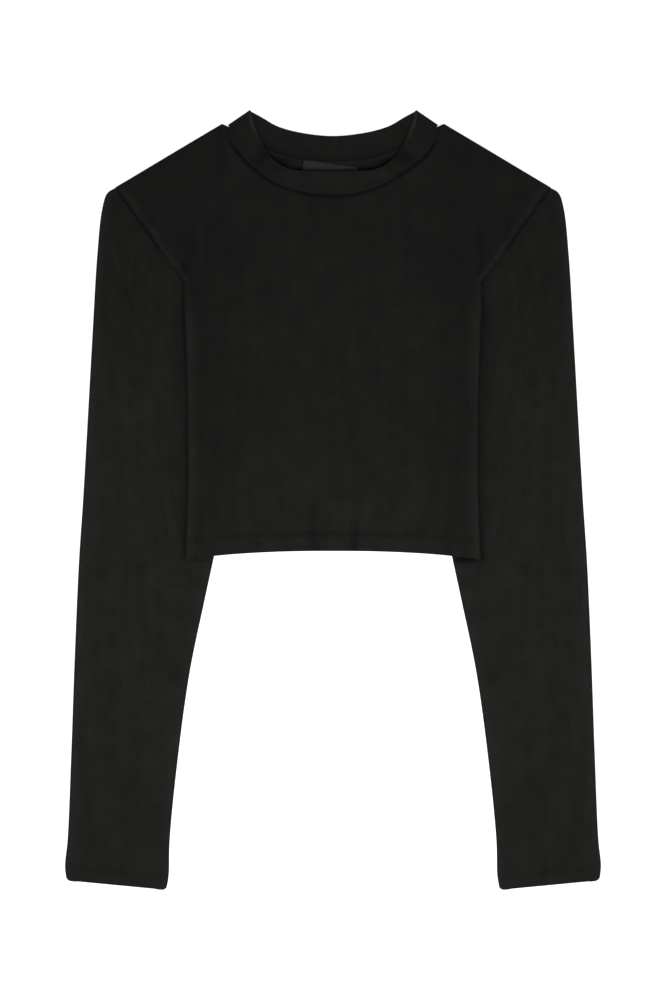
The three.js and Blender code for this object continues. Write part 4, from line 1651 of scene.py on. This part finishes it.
@dataclass
class NeckBand:
    """The mock neck: a ring of doubled jersey whose top edge is the cloth's fold."""

    arc_parts: int = 150
    roll_parts: int = 8
    rise: float = 2.3
    rise_ends: float = 0.3
    round_long: float = 230.0
    dent: float = 1.1
    dents: tuple[float, float] = (38.0, 192.0)
    dent_width: float = 15.0
    tall: float = 22.0
    shares: tuple[float, ...] = (
        *(0.0, 0.02, 0.045, 0.075, 0.11, 0.155, 0.21, 0.27, 0.34, 0.41, 0.48, 0.55),
        *(0.62, 0.69, 0.76, 0.82, 0.87, 0.91, 0.945, 0.975, 1.0),
    )

    def grid(self) -> ClothGrid:
        """Lays the band out as rings from its seam to its free edge.

        Returns:
            The grid.
        """
        front, back = NeckLines(FRONT_NECK), NeckLines(BACK_NECK)
        lines = {
            "front": (front.line(False, self.arc_parts), front.line(True, self.arc_parts)),
            "back": (back.line(False, self.arc_parts), back.line(True, self.arc_parts)),
        }
        rings, tones = [], []
        for share in self.shares:
            rings.append(self.ring(lines, front.outward, share))
            tones.append(self.tone(rings[-1], share))
        points = np.array(rings).transpose(1, 0, 2)
        middle = points[:, len(self.shares) // 2]
        run = np.concatenate([[0], np.cumsum(np.linalg.norm(np.diff(middle, axis=0), axis=1))])
        chart = np.zeros((*points.shape[:2], 2))
        chart[..., 0] = run[:, None]
        chart[..., 1] = self.tall * np.array(self.shares)[None, :]
        tone = np.array(tones).T
        return ClothGrid(points[::-1], chart[::-1], tone[::-1], np.zeros_like(tone), tube=True)

    def ring(self, lines: dict[str, tuple[Array, Array]], outward: Array, share: float) -> Array:
        """Places one ring of the band.

        Args:
            lines: The seam and the free edge of the front and of the back.
            outward: The way the side fold faces.
            share: How far from the seam to the free edge.

        Returns:
            The ring's points, with the first one again at the end.
        """
        low = CUT.band_wall / 2
        radius = (CUT.high - CUT.low) / 2
        plan = {part: lerp(seam, edge, share) for part, (seam, edge) in lines.items()}
        count = np.arange(self.arc_parts + 1)
        ends = np.minimum(count, self.arc_parts - count) / self.arc_parts
        run = count / self.arc_parts * self.round_long
        up_share = float(ease(share, 0, 0.9))
        sewn = -0.7 * float(bell(share, 0, 0.065)) + 0.2 * float(bell(share, 0.2, 0.12))
        tuck = 0.1 * np.sin(run * 2 * math.pi / TUCK_PITCH + 0.8) * float(bell(share, 0, 0.3))
        free = ease(ends, 0, self.rise_ends)
        sway = 0.3 * np.sin(run / 21.0 + 0.7) * up_share
        dents = sum(bell(run, place, self.dent_width) for place in self.dents)
        dent = self.dent * dents * float(ease(share, 0.2, 1))
        front = low + 2 * radius + (self.rise * up_share + sewn + tuck + sway - dent) * free
        back = np.full(self.arc_parts + 1, low) + 0.12 * (1 + np.sin(run / 17.0)) * free
        angles = np.linspace(0, math.pi, self.roll_parts + 1)[1:-1]
        front_arc = np.column_stack([plan["front"], front])
        back_arc = np.column_stack([plan["back"], back])[::-1]
        right = [self.folded(front_arc[-1], outward, angle) for angle in angles]
        left = [self.folded(front_arc[0], mirrored(outward), angle) for angle in angles[::-1]]
        return np.concatenate([front_arc, right, back_arc, left, front_arc[:1]])

    def tone(self, ring: Array, share: float) -> Array:
        """Works out the painted shade and highlights of a ring.

        Args:
            ring: Its points.
            share: How far from the seam to the free edge.

        Returns:
            Shares of the cloth's own lightness.
        """
        x, up = ring[:, 0], ring[:, 1]
        on_front = np.zeros(len(ring))
        on_front[: self.arc_parts + 1] = 1.0
        on_front[-1] = 1.0
        # Painted shade in the seam's crease.
        seam = 0.8 * float(bell(share, 0.035, 0.05)) * (0.3 + 0.7 * on_front) * neck_depth(up)
        # Painted highlight where the free edge folds near the peaks.
        peak_highlight = 1.3 * float(ease(share, 0.85, 0.94)) * bell(np.abs(x), 70.5, 4) * on_front
        # Painted shade in the dents beside the free edge.
        dents = crease_height(BAND_SHADE, x, up, np.zeros_like(x)) * on_front
        # Darker towards the seam.
        foot = 0.1 * (1 - float(ease(share, 0.1, 0.6)))
        return np.clip(0.8 - foot - seam - dents + peak_highlight, 0.1, 2.4)

    def folded(self, start: Array, outward: Array, angle: float) -> Array:
        """Finds a point of the side fold.

        Args:
            start: Where the front ply ends.
            outward: The way the fold faces.
            angle: The angle from the front ply.

        Returns:
            The point.
        """
        low = CUT.band_wall / 2
        radius = (CUT.high - CUT.low) / 2
        place = start[:2] + outward * radius * math.sin(angle)
        return np.append(place, low + radius + radius * math.cos(angle))


@dataclass
class NeckLabel:
    """The blank ribbon sewn askew inside the back neck."""

    width: float = 47.0
    height: float = 15.0
    middle: tuple[float, float] = (-3.0, 285.0)
    turn: float = math.radians(-7.9)

    def grid(self) -> ClothGrid:
        """Lays the ribbon out with its ends a little raised and a soft curl.

        Returns:
            The grid.
        """
        u = np.linspace(-0.5, 0.5, 61)[:, None] * self.width * np.ones((1, 21))
        v = np.linspace(-0.5, 0.5, 21)[None, :] * self.height * np.ones((61, 1))
        x = self.middle[0] + u * math.cos(self.turn) - v * math.sin(self.turn)
        up = self.middle[1] + u * math.sin(self.turn) + v * math.cos(self.turn)
        ends = ease(np.abs(u), self.width / 2 - 6, self.width / 2 - 5)
        height = CUT.cloth + CUT.seam_gap + 0.35 + 0.12 * ends + 0.12 * np.sin(u / 6.0 + 0.6)
        points = np.stack([x, up, height], axis=-1)
        return ClothGrid(points, np.stack([u, v], axis=-1), np.ones_like(u), np.zeros_like(u))


@dataclass
class Stitching:
    """Single stitches that lie on the cloth."""

    stitch: float = 2.5
    gap: float = 0.6
    thread: float = 0.42
    bed: float = 0.08

    def placed(self, line: Array, run: Array, at: Array) -> Array:
        """Returns the points that lie at some distances along a line."""
        return np.column_stack([np.interp(at, run, line[:, axis]) for axis in range(3)])

    def running(self, line: Array) -> list[tuple[Array, Array]]:
        """Sews a straight row along a line.

        Args:
            line: Points of the line.

        Returns:
            The ends of each stitch.
        """
        run = np.concatenate([[0], np.cumsum(np.linalg.norm(np.diff(line, axis=0), axis=1))])
        count = int(run[-1] // (self.stitch + self.gap))
        starts = (np.arange(count) + 0.5) * run[-1] / count - self.stitch / 2
        return list(zip(self.placed(line, run, starts), self.placed(line, run, starts + self.stitch)))

    def zigzag(self, line: Array, reach: float) -> list[tuple[Array, Array]]:
        """Sews an overlock that crosses a band beside a line.

        Args:
            line: Points of the line.
            reach: How wide the band is.

        Returns:
            The ends of each leg.
        """
        run = np.concatenate([[0], np.cumsum(np.linalg.norm(np.diff(line, axis=0), axis=1))])
        corners = self.placed(line, run, np.arange(0, run[-1], self.stitch / 2))
        corners[::2, 1] -= reach
        return list(zip(corners[:-1], corners[1:]))

    def piece(
        self, name: str, legs: Iterable[tuple[Array, Array]], material: bpy.types.Material
    ) -> bpy.types.Object:
        """Sews every stitch.

        Args:
            name: The piece's name.
            legs: The ends of each stitch, on the cloth's upper surface.
            material: Its finish.

        Returns:
            All the stitches as one object.
        """
        mesh = bmesh.new()
        lift = Vector((0, 0, self.thread / 2 - self.bed))
        for start, end in legs:
            step = Vector(end - start)
            turn = step.to_track_quat("X", "Z").to_matrix().to_4x4()
            size = Matrix.Diagonal((step.length, self.thread, self.thread, 1))
            middle = Vector((start + end) / 2) + lift
            place = Matrix.Scale(MM, 4) @ Matrix.Translation(middle) @ turn @ size
            bmesh.ops.create_uvsphere(mesh, u_segments=8, v_segments=5, radius=0.5, matrix=place)
        for face in mesh.faces:
            face.smooth = True
        return finished(name, mesh, material)


@dataclass(frozen=True)
class Sheet:
    """What one piece of cloth stands for, and the size that shows when it is spread flat."""

    node: str
    slot: str
    wall: float
    flat: tuple[float, float]
    area: float
    held: str
    rests_on: tuple[str, ...]


class CropTop:
    """The whole garment."""

    def __init__(self) -> None:
        """Sets out the pieces."""
        self.front = BodyPly(
            low=CUT.high,
            over=CUT.over(4),
            strip=CUT.over(1),
            neck=NeckLines(FRONT_NECK),
            creases=FRONT_CREASES,
            shades=FRONT_SHADE,
            faces_up=True,
        )
        self.back = BodyPly(
            low=CUT.low,
            over=CUT.over(3),
            strip=CUT.over(2),
            neck=NeckLines(BACK_NECK),
            creases=BACK_CREASES,
            shades=BACK_SHADE,
            faces_up=False,
            cell=3.0,
        )
        self.sleeves = (
            Sleeve(Side.RIGHT, RIGHT_SLEEVE_CREASES, RIGHT_SLEEVE_SHADE, body_edge_shade=(0.4, 2.5)),
            Sleeve(Side.LEFT, LEFT_SLEEVE_CREASES, LEFT_SLEEVE_SHADE, body_edge_shade=(0.32, 4.2)),
        )
        self.jersey = JerseyFinish().material()

    def build(self) -> None:
        """Builds and dresses every piece."""
        self.body()
        cuffs = [leg for sleeve in self.sleeves for leg in self.sleeve(sleeve)]
        band = Sheet(
            node="neck_band",
            slot="jersey",
            wall=CUT.band_wall,
            flat=(0.455, 0.024),
            area=0.0084,
            held="folded",
            rests_on=("front", "back"),
        )
        self.cloth(NeckBand().grid(), band, self.jersey)
        ribbon = Sheet(
            node="label",
            slot="label_ribbon",
            wall=0.5,
            flat=(0.047, 0.015),
            area=0.0007,
            held="laid",
            rests_on=("back",),
        )
        self.cloth(NeckLabel().grid(), ribbon, RibbonFinish().material())
        thread = ThreadFinish().material()
        hem = [leg for line in self.hem_lines() for leg in Stitching().running(line)]
        self.sew("hem_stitching", Stitching(), hem, thread)
        self.sew("cuff_stitching", Stitching(), cuffs, thread)
        overlock = Stitching(stitch=2.4, thread=0.4, bed=0.05)
        fluffy = ThreadFinish(name="overlock_thread", shade=(0.019, 0.019, 0.018)).material()
        self.sew("neck_overlock", overlock, overlock.zigzag(self.overlock_line(), reach=3.2), fluffy)

    def body(self) -> None:
        """Makes the front and the back."""
        front = Sheet(
            node="front",
            slot="jersey",
            wall=CUT.cloth,
            flat=(0.379, 0.379),
            area=0.113,
            held="folded",
            rests_on=("back", "sleeve_left"),
        )
        back = Sheet(
            node="back",
            slot="jersey",
            wall=CUT.cloth,
            flat=(0.379, 0.379),
            area=0.116,
            held="folded",
            rests_on=("sleeve_left", "sleeve_right"),
        )
        self.cloth(self.front.grid(), front, self.jersey)
        self.cloth(self.back.grid(), back, self.jersey)

    def sleeve(self, sleeve: Sleeve) -> list[tuple[Array, Array]]:
        """Makes one sleeve.

        Args:
            sleeve: The sleeve.

        Returns:
            The stitches of its cuff.
        """
        grid = sleeve.grid()
        sheet = Sheet(sleeve.node, "jersey", CUT.cloth, (0.385, 0.61), 0.1185, "laid", ())
        self.cloth(grid, sheet, self.jersey)
        return [leg for line in sleeve.cuff_lines(grid) for leg in Stitching().running(line)]

    def cloth(self, grid: ClothGrid, sheet: Sheet, material: bpy.types.Material) -> None:
        """Makes a piece of cloth that stands for its CAD node and hides that node.

        Args:
            grid: Its points.
            sheet: Its cut.
            material: Its finish.
        """
        piece = grid.shell(f"{sheet.node}_cloth", sheet.wall, material)
        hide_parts(sheet.node)
        LOG.info("%s: %d faces before its wall", piece.name, len(piece.data.polygons))

    def sew(
        self, name: str, stitching: Stitching, legs: list[tuple[Array, Array]], material: bpy.types.Material
    ) -> None:
        """Makes rows of stitches as one piece.

        Args:
            name: The piece's name.
            stitching: The kind of stitch.
            legs: The ends of each stitch.
            material: Its finish.
        """
        piece = stitching.piece(name, legs, material)
        LOG.info("%s: %d stitches", name, len(legs))

    def hem_lines(self) -> list[Array]:
        """Finds the two rows of stitching along the front hem.

        Returns:
            The points of each row.
        """
        out = CUT.hem_corner[0] - CUT.fold_reach
        x = np.linspace(-out, out, 260)
        lines = []
        for above in CUT.hem_lines:
            up = CUT.hem_up(x) + above
            lines.append(np.column_stack([x, up, self.front.height(x, up) + CUT.cloth / 2]))
        return lines

    def overlock_line(self) -> Array:
        """Finds the upper edge of the overlock inside the back neck.

        Returns:
            Its points.
        """
        seam = moved_off(self.back.neck.line(edge=False, parts=120)[12:-12], 0.6, (0, CUT.neck_peak[1]))
        height = self.back.height(seam[:, 0], seam[:, 1]) + CUT.cloth / 2 + 0.15
        return np.column_stack([seam, height])


@dataclass(frozen=True)
class SoftBox:
    """A soft light that faces the garment: where it stands in metres, its size and its power."""

    name: str
    place: tuple[float, float, float]
    size: tuple[float, float]
    power: float

    def build(self) -> None:
        """Adds the light."""
        data = bpy.data.lights.new(self.name, "AREA")
        data.shape = "RECTANGLE"
        data.size, data.size_y = self.size
        data.energy = self.power
        lamp = bpy.data.objects.new(self.name, data)
        lamp.location = self.place
        aim = Vector((0, 0, 0)) - Vector(self.place)
        lamp.rotation_euler = aim.to_track_quat("-Z", "Y").to_euler()
        lamp.visible_camera = False
        bpy.context.scene.collection.objects.link(lamp)


@dataclass
class Studio:
    """The white sweep, the lights and the camera above it."""

    frame_height: float = 870.0
    lens: float = 200.0
    sensor: float = 36.0
    middle: tuple[float, float] = (0.43, -0.22)
    sky: float = 0.28
    lights: tuple[SoftBox, ...] = (
        SoftBox("key", (0.0, -0.55, 1.15), (0.9, 0.7), 14.0),
        SoftBox("side_right", (-1.3, 0.05, 0.55), (0.4, 1.4), 7.0),
        SoftBox("side_left", (1.3, 0.05, 0.6), (0.4, 1.4), 6.5),
    )

    def build(self) -> None:
        """Sets up the floor, the lights and the camera."""
        self.floor()
        self.world()
        for light in self.lights:
            light.build()
        self.camera()

    def floor(self) -> None:
        """Makes the white paper."""
        mesh = bmesh.new()
        bmesh.ops.create_grid(mesh, x_segments=1, y_segments=1, size=4.0)
        data = bpy.data.meshes.new("paper")
        mesh.to_mesh(data)
        mesh.free()
        data.materials.append(PaperFinish().material())
        paper = bpy.data.objects.new("paper", data)
        paper.location.z = -0.05 * MM
        bpy.context.scene.collection.objects.link(paper)

    def world(self) -> None:
        """Makes an even white sky."""
        world = bpy.data.worlds.new("studio")
        world.use_nodes = True
        background = world.node_tree.nodes["Background"]
        background.inputs["Color"].default_value = (1.0, 1.0, 1.0, 1.0)
        background.inputs["Strength"].default_value = self.sky
        scene = bpy.context.scene
        scene.world = world
        scene.view_settings.view_transform = "Standard"
        scene.view_settings.look = "None"

    def camera(self) -> None:
        """Puts a long lens straight above the garment."""
        data = bpy.data.cameras.new("camera")
        data.sensor_fit = "VERTICAL"
        data.sensor_height = self.sensor
        data.lens = self.lens
        distance = self.lens * self.frame_height / self.sensor
        data.clip_end = 20.0
        camera = bpy.data.objects.new("camera", data)
        camera.location = (self.middle[0] * MM, self.middle[1] * MM, distance * MM)
        bpy.context.scene.collection.objects.link(camera)
        bpy.context.scene.camera = camera


def main() -> None:
    """Dresses the garment and lights it."""
    logging.basicConfig(level=logging.INFO, format="%(name)s: %(message)s")
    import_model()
    CropTop().build()
    Studio().build()
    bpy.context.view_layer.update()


if __name__ == "__main__":
    main()
